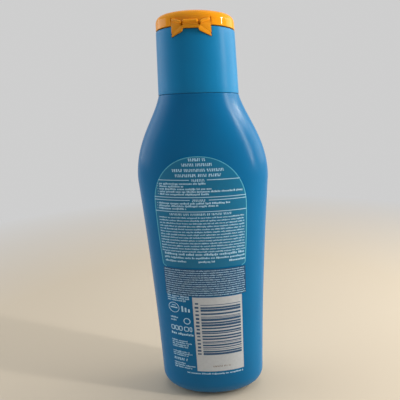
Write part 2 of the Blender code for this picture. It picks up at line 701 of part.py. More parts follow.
def make_wing(name, side, parts, material):
    """A three-cornered plate with a low ridge, whose own origin is on its lower film line."""
    apex, top, foot = hinge_points()
    normal = (top - apex).cross(foot - apex).normalized()
    low, high, inner_high, inner_low = [corner - foot for corner in wing_corners()]
    ridge = low + (high - low) * WING_RIDGE_SHARE - normal * WING_RIDGE
    inner_ridge = (inner_low + inner_high) / 2
    mesh = bpy.data.meshes.new(name)
    plate = bmesh.new()
    low, high, inner_high, inner_low = [plate.verts.new(corner) for corner in (low, high, inner_high, inner_low)]
    ridge, inner_ridge = plate.verts.new(ridge), plate.verts.new(inner_ridge)
    faces = [plate.faces.new((low, ridge, inner_ridge, inner_low))]
    faces.append(plate.faces.new((ridge, high, inner_high, inner_ridge)))
    grown = bmesh.ops.extrude_face_region(plate, geom=faces)
    moved = [part for part in grown["geom"] if isinstance(part, bmesh.types.BMVert)]
    bmesh.ops.translate(plate, verts=moved, vec=normal * WING_THICKNESS)
    if side < 0:
        bmesh.ops.scale(plate, verts=plate.verts, vec=(-1, 1, 1))
    bmesh.ops.recalc_face_normals(plate, faces=plate.faces)
    plate.to_mesh(mesh)
    plate.free()
    wing = add_object(name, mesh, parts, material)
    wing.location = (side * foot.x, foot.y, foot.z)
    return wing


def main():
    clear_scene()
    parts = new_collection("sunscreen_bottle")
    cutters = new_collection("cutters_and_tools")
    make_bottle(parts, cutters, plastic("bottle_blue", (0.004, 0.17, 0.36), 0.38))
    make_label(parts, plastic("label_teal", (0.02, 0.27, 0.42), 0.3))
    pocket = make_pocket(cutters)
    make_closure(parts, cutters, pocket, plastic("closure_blue", (0.01, 0.16, 0.36), 0.35))
    make_anchor(parts, plastic("anchor_orange", (0.75, 0.26, 0.02), 0.4))
    make_lid(parts, cutters, pocket, plastic("lid_orange", (0.85, 0.36, 0.02), 0.35))
    for side, name in ((1, "hinge_wing_right"), (-1, "hinge_wing_left")):
        make_wing(name, side, parts, plastic(f"{name}_orange", (0.8, 0.33, 0.03), 0.35))


main()
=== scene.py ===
"""The looks of the sunscreen bottle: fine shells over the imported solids, printing, plastics and light.

Every length is in metres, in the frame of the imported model: +Z up, the wide side along X, the rear with the
label and the hinge at -Y. Only the printing is laid out in millimetres.
"""
import math
import random

import bmesh
import bpy
from mathutils import Matrix, Vector


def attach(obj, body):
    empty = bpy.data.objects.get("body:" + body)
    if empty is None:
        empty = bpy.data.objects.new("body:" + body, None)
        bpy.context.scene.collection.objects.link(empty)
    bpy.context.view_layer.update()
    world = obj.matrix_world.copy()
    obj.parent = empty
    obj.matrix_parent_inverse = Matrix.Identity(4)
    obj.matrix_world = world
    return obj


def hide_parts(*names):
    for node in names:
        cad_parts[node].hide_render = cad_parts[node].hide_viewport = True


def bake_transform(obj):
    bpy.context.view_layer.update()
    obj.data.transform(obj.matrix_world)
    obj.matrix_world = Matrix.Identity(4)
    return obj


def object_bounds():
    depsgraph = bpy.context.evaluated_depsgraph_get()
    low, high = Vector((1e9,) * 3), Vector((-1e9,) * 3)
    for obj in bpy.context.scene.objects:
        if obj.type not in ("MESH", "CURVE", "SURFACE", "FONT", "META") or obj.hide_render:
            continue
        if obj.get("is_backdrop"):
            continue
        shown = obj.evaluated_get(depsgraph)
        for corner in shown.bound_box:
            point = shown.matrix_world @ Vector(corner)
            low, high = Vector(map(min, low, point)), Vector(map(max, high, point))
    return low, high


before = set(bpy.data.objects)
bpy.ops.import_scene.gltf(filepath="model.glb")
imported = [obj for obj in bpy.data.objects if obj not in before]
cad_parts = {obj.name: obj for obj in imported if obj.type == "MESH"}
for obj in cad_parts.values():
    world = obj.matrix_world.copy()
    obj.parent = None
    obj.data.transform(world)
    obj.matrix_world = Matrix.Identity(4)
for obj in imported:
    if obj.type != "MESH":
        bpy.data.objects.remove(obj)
cad_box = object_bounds()

MM = 0.001
QUARTER = math.pi / 2

# Camera, from a fit of the bottle's outline and label to the photograph
FRAME_PIXELS = 400
FOCAL_PIXELS = 360.49
CENTRE_PIXEL = (237.8, 211.972)
CAMERA_PLACE = (22.725 * MM, -176.365 * MM, 147.47 * MM)
CAMERA_YAW = math.radians(-1.985)
CAMERA_PITCH = math.radians(15.011)
CAMERA_ROLL = math.radians(-1.704)
CAMERA_CLIP = 5 * MM
SENSOR_WIDTH = 36.0

# Floor, background and lamps. A lamp is (name, place, size, watts, colour, mirrored in gloss)
FLOOR_REACH = 1.5
FLOOR_FADE = (0.2, 0.5)
FLOOR_TONES = ((0.56, 0.48, 0.38), (0.53, 0.45, 0.35))
FLOOR_ROUGHNESS = 0.6
BACKGROUND_TONE = (0.62, 0.62, 0.62)
WORLD_FILL = (0.17, 0.185, 0.21)
LAMPS = (
    ("right_window", (1.1, 0.1, 0.2), (0.8, 0.36), 5.4, (1.0, 0.98, 0.78), False),
    ("window_pane", (0.98, 0.43, 0.45), (0.7, 0.6), 4.2, (1.0, 0.9, 0.72), True),
    ("window_jamb", (0.485, -0.121, 0.3), (0.016, 0.3), 1.45, (1.0, 0.99, 0.95), True),
    ("window_head", (0.44, 0.02, 0.385), (0.34, 0.02), 1.1, (1.0, 0.99, 0.95), True),
    ("left_wall", (-1.2, 0.2, 0.45), (1.0, 0.6), 3.6, (1.0, 1.0, 1.0), True),
    ("left_fill", (-1.2, 0.0, 0.5), (1.0, 1.2), 7.6, (0.84, 0.96, 1.0), False),
    ("ceiling", (0.1, 0.1, 1.2), (0.9, 0.9), 6.0, (1.0, 0.99, 0.98), False),
)

# Plastics: two colours, roughness, specular level, bloom, and heights of the grain, draw lines and slow waves
PLASTICS = {
    "bottle_blue_plastic":
        ((0.002, 0.142, 0.34), (0.003, 0.132, 0.32), 0.22, 0.1, 0.035, 0.003 * MM, 0.0, 0.1 * MM),
    "label_film_plastic":
        ((0.002, 0.142, 0.34), (0.003, 0.132, 0.32), 0.22, 0.1, 0.035, 0.002 * MM, 0.0, 0.0),
    "closure_blue_plastic":
        ((0.003, 0.2, 0.45), (0.004, 0.19, 0.43), 0.34, 0.12, 0.12, 0.002 * MM, 0.02 * MM, 0.05 * MM),
    # The hinge's orange is the lid's orange made darker: painted shade on the band, the wings and their films
    "hinge_orange_shaded_plastic":
        ((0.75, 0.28, 0.006), (0.72, 0.265, 0.005), 0.24, 0.22, 0.0, 0.002 * MM, 0.0, 0.0),
    "lid_orange_plastic":
        ((0.86, 0.315, 0.003), (0.84, 0.3, 0.002), 0.04, 0.2, 0.0, 0.0015 * MM, 0.0, 0.0),
}

# Noise in the materials: scale per metre, detail and, if any, stretch
TONE_RANGE = (0.35, 0.65)
GLOSS_RANGE = (0.3, 0.7)
GLOSS_SPREAD = (-0.03, 0.05)
PLASTIC_TONE = (45, 2.0)
PLASTIC_GLOSS = (160, 5.0)
PLASTIC_BUMPS = ((2600, 2.0), (420, 2.0, (1, 1, 0.02)), (60, 1.0, (1, 1, 0.3)))
INK_TONE = (700, 3.0)
INK_GRAIN = (3000, 2.0)
INK_GRAIN_HEIGHT = 0.002 * MM
INK_SPECULAR = 0.3
FLOOR_TONE = (3, 2.0)

# Inks: two colours and a roughness
INKS = {
    "panel_teal": ((0.002, 0.165, 0.33), (0.003, 0.157, 0.315), 0.3),
    "block_navy": ((0.003, 0.075, 0.19), (0.004, 0.07, 0.175), 0.3),
    "pale_ink": ((0.5, 0.74, 0.92), (0.44, 0.7, 0.9), 0.35),
    "outline_ink": ((0.11, 0.48, 0.64), (0.09, 0.42, 0.58), 0.35),
    "box_grey": ((0.56, 0.59, 0.63), (0.52, 0.55, 0.59), 0.35),
    "bar_ink": ((0.02, 0.08, 0.18), (0.025, 0.09, 0.2), 0.35),
    "stamp_ink": ((0.2, 0.15, 0.13), (0.25, 0.2, 0.17), 0.35),
}

# Fineness of the round shapes
RING_SEGMENTS = 192
HEEL_STEPS = 20
SIDE_STEPS = 48
SHOULDER_STEPS = 48
INNER_STEPS = 20
ARC_STEPS = 6
WALL_STEPS = 8
SOLVE_STEPS = 40
EDGE_SEGMENTS = 3
EDGE_ANGLE = math.radians(28)
SMOOTH_ANGLE = math.radians(35)
WELD_REACH = 0.005 * MM

# Bottle. A pair is for the width and the depth. The sides are drawn in, and the rear and front swell
BASE_HALF = (28.1 * MM, 15.2 * MM)
HIP_HALF = (32.0 * MM, 19.4 * MM)
SIDE_DRAW = (0.86 * MM, -0.5 * MM)
HIP_HEIGHT = 118.5 * MM
LEDGE_HALF = (18.7 * MM, 14.9 * MM)
LEDGE_HEIGHT = 156.9 * MM
HIP_HANDLE = 18.0 * MM
LEDGE_HANDLE = 10.0 * MM
LEDGE_LEAN_SHARE = (0.27, 0.15)
LEDGE_ROUNDING = 0.35 * MM
LEDGE_LIFT = 0.28 * MM
HEEL_HEIGHT = 9.5 * MM
HEEL_INSET = (10.5 * MM, 7.2 * MM)
STANDING_RING_WIDTH = 2.4 * MM
PUSH_UP = 1.5 * MM
BODY_WALL = 1.1 * MM
LEDGE_WALL = 1.5 * MM
NECK_RADIUS = 10.5 * MM
NECK_BORE_RADIUS = 8.9 * MM
NECK_LENGTH = 19.0 * MM
NECK_CHAMFER = 0.5 * MM
NECK_FOOT_RADIUS = 0.9 * MM
BEAD_PROUD = 0.6 * MM
BEAD_BELOW_RIM = 5.0 * MM
BEAD_LAND = 0.5 * MM
BEAD_LEAD_IN = 1.4 * MM
LUG_HEIGHT = 3.4 * MM
LUG_LENGTH = 2.4 * MM
LUG_WIDTH = 4.4 * MM
LUG_ROUNDING = 0.4 * MM
FIT_GAP = 0.3 * MM

# Closure
SEAM_GAP = 0.4 * MM
RIM_HALF = (17.3 * MM, 14.1 * MM)
RIM_HEIGHT = 190.0 * MM
DECK_HEIGHT = 183.7 * MM
SKIRT_WALL = 1.5 * MM
DECK_WALL = 1.5 * MM
SKIRT_EDGE = 0.35 * MM
SKIRT_FOOT_EDGE = 0.15 * MM
SLEEVE_CLEARANCE = 0.3 * MM
SLEEVE_WALL = 1.1 * MM
SLEEVE_LENGTH = 15.5 * MM
SNAP_BEAD_LAND = 0.6 * MM
SNAP_BEAD_RAMP = 0.7 * MM
PLUG_CLEARANCE = 0.35 * MM
PLUG_WALL = 1.0 * MM
PLUG_DEPTH = 3.0 * MM
PLUG_CHAMFER = 0.3 * MM
RIB_THICKNESS = 0.8 * MM
RIB_ABOVE_LEDGE = 1.2 * MM
COLLAR_CLEARANCE = 0.35 * MM
COLLAR_WALL = 0.9 * MM
COLLAR_HEIGHT = 1.5 * MM
COLLAR_EDGE = 0.25 * MM
SPOUT_BORE_RADIUS = 3.15 * MM
SPOUT_WALL = 1.0 * MM
SPOUT_HEIGHT = 3.5 * MM
SPOUT_TAPER = 0.4 * MM
SPOUT_LIP = 0.3 * MM
SCOOP_RADIUS = 9.0 * MM
SCOOP_DEPTH = 0.75 * MM
SCOOP_HALF_WIDTH = 7.0 * MM
SCOOP_BELOW_DECK = 3.0 * MM
SCOOP_SEGMENTS = 128

# Flip lid
LID_GAP = 0.4 * MM
LID_WALL = 1.5 * MM
LID_EDGE_RADIUS = 3.0 * MM
LID_EDGE_STEPS = 16
LID_DOME = 2.2 * MM
LID_DOME_STEPS = 14
LID_LIP_EDGE = 0.3 * MM
LID_PLUG_CLEARANCE = 0.4 * MM
LID_PLUG_WALL = 1.0 * MM
LID_PLUG_DEPTH = 1.8 * MM
LID_PLUG_CHAMFER = 0.3 * MM

# Butterfly hinge. A wing's corner is (out from the middle, up from the hinge line, proud of the closure)
HINGE_PROUD = 0.9 * MM
FILM_GAP = 0.3 * MM
BAR_HALF_LENGTH = 3.2 * MM
STRAP_HEIGHT = 1.1 * MM
ROD_RADIUS = 0.75 * MM
ROD_WAIST = 0.12 * MM
ROD_PROUD = 0.5 * MM
BAND_HEIGHT = 1.1 * MM
BAND_STEPS = 8
WING_APEX_GAP = 0.4 * MM
WING_TOP = (8.0 * MM, 3.0 * MM, 0.25 * MM)
WING_FOOT = (8.3 * MM, -3.1 * MM, 0.4 * MM)
WING_THICKNESS = 0.45 * MM
WING_APEX_HEIGHT = 0.9 * MM
WING_RIDGE = 0.2 * MM
WING_RIDGE_SHARE = 0.5
WING_EDGE_GAP = 0.1 * MM
ROLL_MIDDLE_RADIUS = 0.66 * MM
ROLL_END_RADIUS = 0.5 * MM
ROLL_ROOT_OUT = 0.25 * MM
ROLL_ROOT_RISE = 0.75 * MM
ROLL_PROUD = 0.04 * MM
ROLL_DROP = 0.35 * MM
ROLL_FINISH_SHARE = 0.93
ROLL_END_SHARE = 0.6
ROLL_STEPS = 24
ROLL_SIDES = 24
LEG_ROOT_HEIGHT = 2.0 * MM
LEG_TIP_HEIGHT = 0.9 * MM
POCKET_DEPTH = 0.5 * MM
POCKET_MARGIN = 0.18 * MM
POCKET_PROUD = 3.0 * MM
POCKET_STEPS = 12
HINGE_EDGE = 0.13 * MM
HINGE_FILM = 0.25 * MM
FILM_ROOT = 0.12 * MM
FILM_STEPS = 6
WING_FILM_SPAN = (0.12, 0.97)
WING_FILM_LEG_SHARE = 0.8

# Label film and panel. An arch is (foot, foot's radius, half width at the foot and at the spring, peak), and
# its steps are those of the corner, the side and the arch
LABEL_ARCH = (13.6 * MM, 4.0 * MM, 21.9 * MM, 21.9 * MM, 131.8 * MM)
LABEL_STEPS = (6, 60, 24)
PANEL_ARCH = (77.8 * MM, 1.6 * MM, 19.9 * MM, 21.2 * MM, 130.5 * MM)
PANEL_STEPS = (6, 24, 24)
OUTLINE_STEPS = (8, 24, 48)
OUTLINE_WIDTH = 0.34 * MM
SPRING_HEIGHT = 108.0 * MM
ARCH_POWER = 2.15
ARCH_END = math.radians(86)
LABEL_PROUD = 0.06 * MM
LABEL_ROOT = 0.06 * MM
LABEL_COLUMNS = 48
INK_LAYER = 0.012 * MM
INK_ROOT = 0.02 * MM
INK_SMOOTH_ANGLE = math.radians(20)

# Printing, in millimetres on the label. A block is (left, right, foot, top)
INK_SPAN = 0.9
NAVY_BLOCK = (-20.0, 20.0, 62.4, 77.2)
CODE_BLOCK = (-6.4, 17.84, 18.3, 62.0)
HEADINGS = (
    # half width, foot, height
    (3.9, 128.6, 1.25), (7.0, 126.4, 1.25), (11.5, 124.0, 1.25), (10.2, 121.7, 1.25),
    (2.9, 119.6, 1.1), (3.1, 110.4, 1.1), (14.3, 103.9, 1.0),
)
RULE_WIDTH = 0.3
RULES = (
    # left, right, height
    (-18.3, -3.9, 120.3), (4.0, 18.5, 120.3), (-21.1, 21.1, 112.4),
    (-21.1, -4.1, 111.1), (4.4, 21.1, 111.1), (-21.1, 21.1, 105.7),
)
LISTS = (
    # left of the dots and of the rows, foot of the first row, pitch, right end of each row
    (-19.2, -18.2, 118.3, 1.22, (3.5, -6.5, 6.0, 19.5, 5.0)),
    (-20.1, -19.2, 109.2, 1.25, (14.0, 8.5, -6.0)),
)
LIST_HEIGHT = 0.85
DOT_SIZE = 0.3
DOT_RISE = 0.25
CIRCLES = (
    # centre across and up, radius, line width
    (-16.4, 55.3, 2.75, 0.3), (-10.0, 48.2, 1.6, 0.45),
)
SIGN_BLOCKS = (
    (-18.3, -14.5, 55.0, 55.6), (-17.4, -15.4, 56.4, 56.8),
    (-12.4, -11.5, 53.4, 56.6), (-10.7, -9.8, 53.4, 55.9), (-9.0, -8.1, 53.4, 55.2),
)
SIGN_BOXES = (
    # centre across, half width
    (-17.9, 0.8), (-15.8, 0.8), (-13.7, 0.8), (-10.6, 1.1), (-8.3, 0.5),
)
SIGN_BOX_HEIGHT = 43.5
SIGN_BOX_HALF_HEIGHT = 1.2
SIGN_BOX_LINE = 0.42
CIRCLE_STEPS = 48
BOX_STEPS = 24
CIRCLE_POWER = 2
BOX_POWER = 3.5
BARS_BLOCK = (-2.6, 17.0, 28.0, 58.0)
BAR_MODULE = 0.316
BAR_MODULES = (1, 2, 3, 3, 4)
GAP_MODULES = (1, 1, 2, 2, 3)
SIDE_MARKS = 15
SIDE_MARK_TOP = 59.0
SIDE_MARK_PITCH = 2.1
SIDE_MARK_LEFT = (-5.6, -5.2)
SIDE_MARK_RIGHT = -3.6
SIDE_MARK_HEIGHT = (0.8, 1.3)
STAMP_ROW = (2.0, 11.0, 21.0, 0.9)

# Letterless marks, in shares of a mark's height, and how often a mark is of a kind
WORD_SPAN = (1.2, 7.5)
WORD_GAP = 0.5
MARK_SPAN = (0.34, 0.66)
MARK_GAP = 0.2
ROW_END_ROOM = 0.4
WORD_END_ROOM = 0.3
SPLIT_SPAN = (0.3, 0.6)
SPLIT_GAP = 0.06
SLANT_SPAN = (0.15, 0.4)
LOW_MARK_SHARE = 0.7
TAIL_SHARE = 0.24
RISING_CHANCE = 0.3
TAIL_CHANCE = 0.1
LEANING_CHANCE = 0.5
PITCH_FOOT_SHARE = 0.2
EVEN_FILL = 0.62

# Heights and radii that follow from the sizes above
NECK_TOP = LEDGE_HEIGHT + NECK_LENGTH
BEAD_RADIUS = NECK_RADIUS + BEAD_PROUD
BEAD_HEIGHT = NECK_TOP - BEAD_BELOW_RIM
SKIRT_FOOT = LEDGE_HEIGHT + SEAM_GAP
DECK_UNDERSIDE = DECK_HEIGHT - DECK_WALL
SLEEVE_BORE_RADIUS = BEAD_RADIUS + SLEEVE_CLEARANCE
SLEEVE_RADIUS = SLEEVE_BORE_RADIUS + SLEEVE_WALL
SLEEVE_FOOT = DECK_UNDERSIDE - SLEEVE_LENGTH
SNAP_BEAD_RADIUS = NECK_RADIUS + FIT_GAP
SNAP_BEAD_TOP = BEAD_HEIGHT - FIT_GAP
PLUG_RADIUS = NECK_BORE_RADIUS - PLUG_CLEARANCE
PLUG_BORE_RADIUS = PLUG_RADIUS - PLUG_WALL
PLUG_FOOT = NECK_TOP - PLUG_DEPTH
SPOUT_RADIUS = SPOUT_BORE_RADIUS + SPOUT_WALL
SPOUT_TOP = DECK_HEIGHT + SPOUT_HEIGHT
LID_FOOT = DECK_HEIGHT + LID_GAP
LID_CEILING = RIM_HEIGHT - LID_WALL
LID_PLUG_RADIUS = SPOUT_BORE_RADIUS - LID_PLUG_CLEARANCE
LID_PLUG_FOOT = SPOUT_TOP - LID_PLUG_DEPTH
HINGE_HEIGHT = (DECK_HEIGHT + LID_FOOT) / 2
FILM_LOW = HINGE_HEIGHT - FILM_GAP / 2
FILM_HIGH = HINGE_HEIGHT + FILM_GAP / 2


def spaced(start, finish, steps):
    return [start + (finish - start) * step / steps for step in range(steps + 1)]


def round_turns(count):
    return [2 * math.pi * step / count for step in range(count)]


def linked(name, data):
    thing = bpy.data.objects.new(name, data)
    bpy.context.scene.collection.objects.link(thing)
    return thing


def add_piece(name, mesh, material, body, smooth_angle=SMOOTH_ANGLE):
    """Links a piece of the bottle, shades it, and makes it ride on its body."""
    piece = linked(name, mesh)
    mesh.name = name
    mesh.materials.clear()
    mesh.materials.append(material)
    mesh.shade_smooth()
    mesh.set_sharp_from_angle(angle=smooth_angle)
    if body is not None:
        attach(piece, body)
    return piece


def modified(mesh, kind, **settings):
    """The mesh that a mesh becomes under one modifier."""
    holder = linked("holder", mesh)
    modifier = holder.modifiers.new("change", kind)
    for setting, value in settings.items():
        setattr(modifier, setting, value)
    bpy.context.view_layer.update()
    shown = holder.evaluated_get(bpy.context.evaluated_depsgraph_get())
    result = bpy.data.meshes.new_from_object(shown)
    bpy.data.objects.remove(holder)
    return result


def rounded(mesh, width):
    """A mesh with its sharp edges rounded."""
    settings = {"width": width, "segments": EDGE_SEGMENTS, "angle_limit": EDGE_ANGLE}
    return modified(mesh, "BEVEL", limit_method="ANGLE", **settings)


def combined(mesh, operation, *tools):
    """A mesh with others joined on ("UNION") or cut away ("DIFFERENCE"), one after another."""
    for tool_mesh in tools:
        tool = linked("tool", tool_mesh)
        mesh = modified(mesh, "BOOLEAN", operation=operation, solver="EXACT", object=tool)
        bpy.data.objects.remove(tool)
    return mesh


def welded(mesh):
    """Closes the slivers that a join leaves where two faces graze each other."""
    skin = bmesh.new()
    skin.from_mesh(mesh)
    bmesh.ops.remove_doubles(skin, verts=skin.verts, dist=WELD_REACH)
    bmesh.ops.dissolve_degenerate(skin, edges=skin.edges, dist=WELD_REACH)
    skin.to_mesh(mesh)
    skin.free()
    return mesh


def mesh_of(skin):
    mesh = bpy.data.meshes.new("mesh")
    bmesh.ops.recalc_face_normals(skin, faces=skin.faces)
    skin.to_mesh(mesh)
    skin.free()
    return mesh


def skin_rings(skin, rings, looped=False, capped=False):
    """Faces between rings of vertices, in a loop or with a cap at each end if asked."""
    pairs = list(zip(rings, rings[1:]))
    if looped:
        pairs.append((rings[-1], rings[0]))
    for near, far in pairs:
        for step in range(len(near)):
            after = (step + 1) % len(near)
            corners = [near[step], near[after], far[after], far[step]]
            skin.faces.new(list(dict.fromkeys(corners)))
    if capped:
        skin.faces.new(rings[0])
        skin.faces.new(list(reversed(rings[-1])))


def loft(sections, looped=False):
    """Skins oval rings, each a (half_width, half_depth, height). A ring of no width is a pole."""
    skin = bmesh.new()
    rings = []
    for half_width, half_depth, height in sections:
        if half_width == 0:
            rings.append([skin.verts.new((0, 0, height))] * RING_SEGMENTS)
            continue
        turns = round_turns(RING_SEGMENTS)
        places = [(half_width * math.cos(turn), half_depth * math.sin(turn), height) for turn in turns]
        rings.append([skin.verts.new(place) for place in places])
    skin_rings(skin, rings, looped)
    return mesh_of(skin)


def box_mesh(size, centre):
    block = bmesh.new()
    bmesh.ops.create_cube(block, size=1.0, matrix=Matrix.Translation(centre) @ Matrix.Diagonal((*size, 1)))
    return mesh_of(block)


def bezier(ends, handles, share):
    start, finish = ends
    first, second = handles
    rest = 1 - share
    return start * rest**3 + first * 3 * rest**2 * share + second * 3 * rest * share**2 + finish * share**3


def shoulder_half(height, hip_half, ledge_half, lean_share):
    """Half size of the shoulder at a height: a curve, upright at the hip and leaning at the ledge."""
    ends = (Vector((hip_half, HIP_HEIGHT)), Vector((ledge_half, LEDGE_HEIGHT)))
    lean = Vector((lean_share, -1)).normalized()
    handles = (ends[0] + Vector((0, HIP_HANDLE)), ends[1] + lean * LEDGE_HANDLE)
    low, high = 0.0, 1.0
    for _ in range(SOLVE_STEPS):
        middle = (low + high) / 2
        if bezier(ends, handles, middle).y < height:
            low = middle
        else:
            high = middle
    return bezier(ends, handles, low).x


def side_half(height, base_half, hip_half, draw):
    share = height / HIP_HEIGHT
    return base_half + (hip_half - base_half) * share - 4 * draw * share * (1 - share)


def bottle_half(height):
    """Half width and half depth of the bottle's outside, without the heel's rounding."""
    if height <= HIP_HEIGHT:
        return [side_half(height, *sizes) for sizes in zip(BASE_HALF, HIP_HALF, SIDE_DRAW)]
    return [shoulder_half(height, *sizes) for sizes in zip(HIP_HALF, LEDGE_HALF, LEDGE_LEAN_SHARE)]


def cap_half(height):
    """Half width and half depth of the closure's outside."""
    share = (height - LEDGE_HEIGHT) / (RIM_HEIGHT - LEDGE_HEIGHT)
    return [ledge + (rim - ledge) * share for ledge, rim in zip(LEDGE_HALF, RIM_HALF)]


def inset_ring(half, inset, height):
    return half[0] - inset, half[1] - inset, height


def rings_at(half_at, heights, inset=0):
    return [inset_ring(half_at(height), inset, height) for height in heights]


def round_rings(outline):
    return [(radius, radius, height) for radius, height in outline]


def rear_point(half, across, height, proud):
    """A point on the rear of an oval at a place across, standing proud of it."""
    half_width, half_depth = half
    depth = half_depth * math.sqrt(1 - (across / half_width) ** 2)
    return Vector((across, -(depth + proud), height))


def edge_rings(half_at, inset, height, radius, start, finish, steps=ARC_STEPS):
    """Rings round an edge whose centre is inset from the oval. A turn of 0 faces out, a quarter turn up."""
    rings = []
    for turn in spaced(start, finish, steps):
        level = height + radius * math.sin(turn)
        rings.append(inset_ring(half_at(level), inset - radius * math.cos(turn), level))
    return rings


def heel_sections(floor, wall, steps):
    """The rounded heel from the standing ring out to the side, on the outside or within a wall."""
    rings = []
    for turn in spaced(0, QUARTER, steps):
        height = floor + (HEEL_HEIGHT - floor) * (1 - math.cos(turn))
        halves = zip(bottle_half(height), HEEL_INSET)
        rings.append((*(half - (wall + inset * (1 - math.sin(turn))) for half, inset in halves), height))
    return rings


def bottle_outside():
    heel = heel_sections(0, 0, HEEL_STEPS)
    push_inset = STANDING_RING_WIDTH + PUSH_UP
    push_edge = edge_rings(lambda _: heel[0], push_inset, 0, PUSH_UP, QUARTER, 0)
    half_width, half_depth, _ = push_edge[0]
    rings = [(half_width * share, half_depth * share, PUSH_UP) for share in spaced(0, 1, ARC_STEPS)]
    shoulder_top = LEDGE_HEIGHT + LEDGE_LIFT - LEDGE_ROUNDING
    rings += push_edge[1:] + heel
    rings += rings_at(bottle_half, spaced(HEEL_HEIGHT, HIP_HEIGHT, SIDE_STEPS)[1:])
    rings += rings_at(bottle_half, spaced(HIP_HEIGHT, shoulder_top, SHOULDER_STEPS)[1:])
    rings += edge_rings(bottle_half, LEDGE_ROUNDING, shoulder_top, LEDGE_ROUNDING, 0, QUARTER)[1:]
    return rings


def neck_outside():
    bead_top = BEAD_HEIGHT + BEAD_PROUD + BEAD_LAND
    return round_rings([
        (NECK_RADIUS + NECK_FOOT_RADIUS, LEDGE_HEIGHT),
        (NECK_RADIUS + NECK_FOOT_RADIUS / 3, LEDGE_HEIGHT + NECK_FOOT_RADIUS / 3),
        (NECK_RADIUS, LEDGE_HEIGHT + NECK_FOOT_RADIUS),
        (NECK_RADIUS, BEAD_HEIGHT),
        (BEAD_RADIUS, BEAD_HEIGHT + BEAD_PROUD),
        (BEAD_RADIUS, bead_top),
        (NECK_RADIUS, bead_top + BEAD_LEAD_IN),
        (NECK_RADIUS, NECK_TOP - NECK_CHAMFER),
        (NECK_RADIUS - NECK_CHAMFER, NECK_TOP),
        (NECK_BORE_RADIUS, NECK_TOP),
    ])


def bottle_inside():
    ceiling = LEDGE_HEIGHT - LEDGE_WALL
    floor = PUSH_UP + BODY_WALL
    rings = round_rings([(NECK_BORE_RADIUS, ceiling)])
    rings += rings_at(bottle_half, spaced(ceiling, HIP_HEIGHT, INNER_STEPS), BODY_WALL)
    rings += rings_at(bottle_half, spaced(HIP_HEIGHT, HEEL_HEIGHT, INNER_STEPS)[1:-1], BODY_WALL)
    rings += reversed(heel_sections(floor, BODY_WALL, ARC_STEPS))
    rings.append((0, 0, floor))
    return rings


def lug_meshes():
    inner = NECK_RADIUS + NECK_FOOT_RADIUS + FIT_GAP
    size = (LUG_LENGTH, LUG_WIDTH, LUG_HEIGHT + LEDGE_WALL / 2)
    for side in (1, -1):
        centre = (side * (inner + LUG_LENGTH / 2), 0, LEDGE_HEIGHT + LUG_HEIGHT - size[2] / 2)
        yield rounded(box_mesh(size, centre), LUG_ROUNDING)


def make_bottle(material):
    mesh = loft(bottle_outside() + neck_outside() + bottle_inside())
    mesh = combined(mesh, "UNION", *lug_meshes())
    piece = add_piece("bottle_shell", mesh, material, "bottle")
    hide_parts("bottle_body")


def closure_sections():
    """One loop of rings: up the skirt, over deck, collar and spout, and down the plug, sleeve and skirt."""
    collar_outer = LID_WALL + COLLAR_CLEARANCE
    collar_inner = collar_outer + COLLAR_WALL
    collar_edge = DECK_HEIGHT + COLLAR_HEIGHT - COLLAR_EDGE
    foot_edge = SKIRT_FOOT + SKIRT_FOOT_EDGE
    top_edge = DECK_HEIGHT - SKIRT_EDGE
    snap_foot = SNAP_BEAD_TOP - SNAP_BEAD_LAND

    def deck_half(_):
        return cap_half(DECK_HEIGHT)

    def collar_rings(inset, start):
        return edge_rings(deck_half, inset, collar_edge, COLLAR_EDGE, start, start + QUARTER)

    rings = edge_rings(cap_half, SKIRT_FOOT_EDGE, foot_edge, SKIRT_FOOT_EDGE, -QUARTER, 0)
    rings += rings_at(cap_half, spaced(foot_edge, top_edge, WALL_STEPS)[1:-1])
    rings += edge_rings(cap_half, SKIRT_EDGE, top_edge, SKIRT_EDGE, 0, QUARTER)
    rings += rings_at(deck_half, [DECK_HEIGHT], collar_outer)
    rings += collar_rings(collar_outer + COLLAR_EDGE, 0)
    rings += collar_rings(collar_inner - COLLAR_EDGE, QUARTER)
    rings += rings_at(deck_half, [DECK_HEIGHT], collar_inner)
    rings += round_rings([(SPOUT_RADIUS + SPOUT_TAPER, DECK_HEIGHT)])
    spout_half = (SPOUT_RADIUS, SPOUT_RADIUS)
    rings += edge_rings(lambda _: spout_half, SPOUT_LIP, SPOUT_TOP - SPOUT_LIP, SPOUT_LIP, 0, QUARTER)
    rings += round_rings([
        (SPOUT_BORE_RADIUS, SPOUT_TOP),
        (SPOUT_BORE_RADIUS, DECK_UNDERSIDE),
        (PLUG_BORE_RADIUS, DECK_UNDERSIDE),
        (PLUG_BORE_RADIUS, PLUG_FOOT),
        (PLUG_RADIUS - PLUG_CHAMFER, PLUG_FOOT),
        (PLUG_RADIUS, PLUG_FOOT + PLUG_CHAMFER),
        (PLUG_RADIUS, DECK_UNDERSIDE),
        (SLEEVE_BORE_RADIUS, DECK_UNDERSIDE),
        (SLEEVE_BORE_RADIUS, SNAP_BEAD_TOP + BEAD_PROUD),
        (SNAP_BEAD_RADIUS, SNAP_BEAD_TOP),
        (SNAP_BEAD_RADIUS, snap_foot),
        (SLEEVE_BORE_RADIUS, snap_foot - SNAP_BEAD_RAMP),
        (SLEEVE_BORE_RADIUS, SLEEVE_FOOT),
        (SLEEVE_RADIUS, SLEEVE_FOOT),
        (SLEEVE_RADIUS, DECK_UNDERSIDE),
    ])
    return rings + rings_at(cap_half, [DECK_UNDERSIDE, SKIRT_FOOT], SKIRT_WALL)


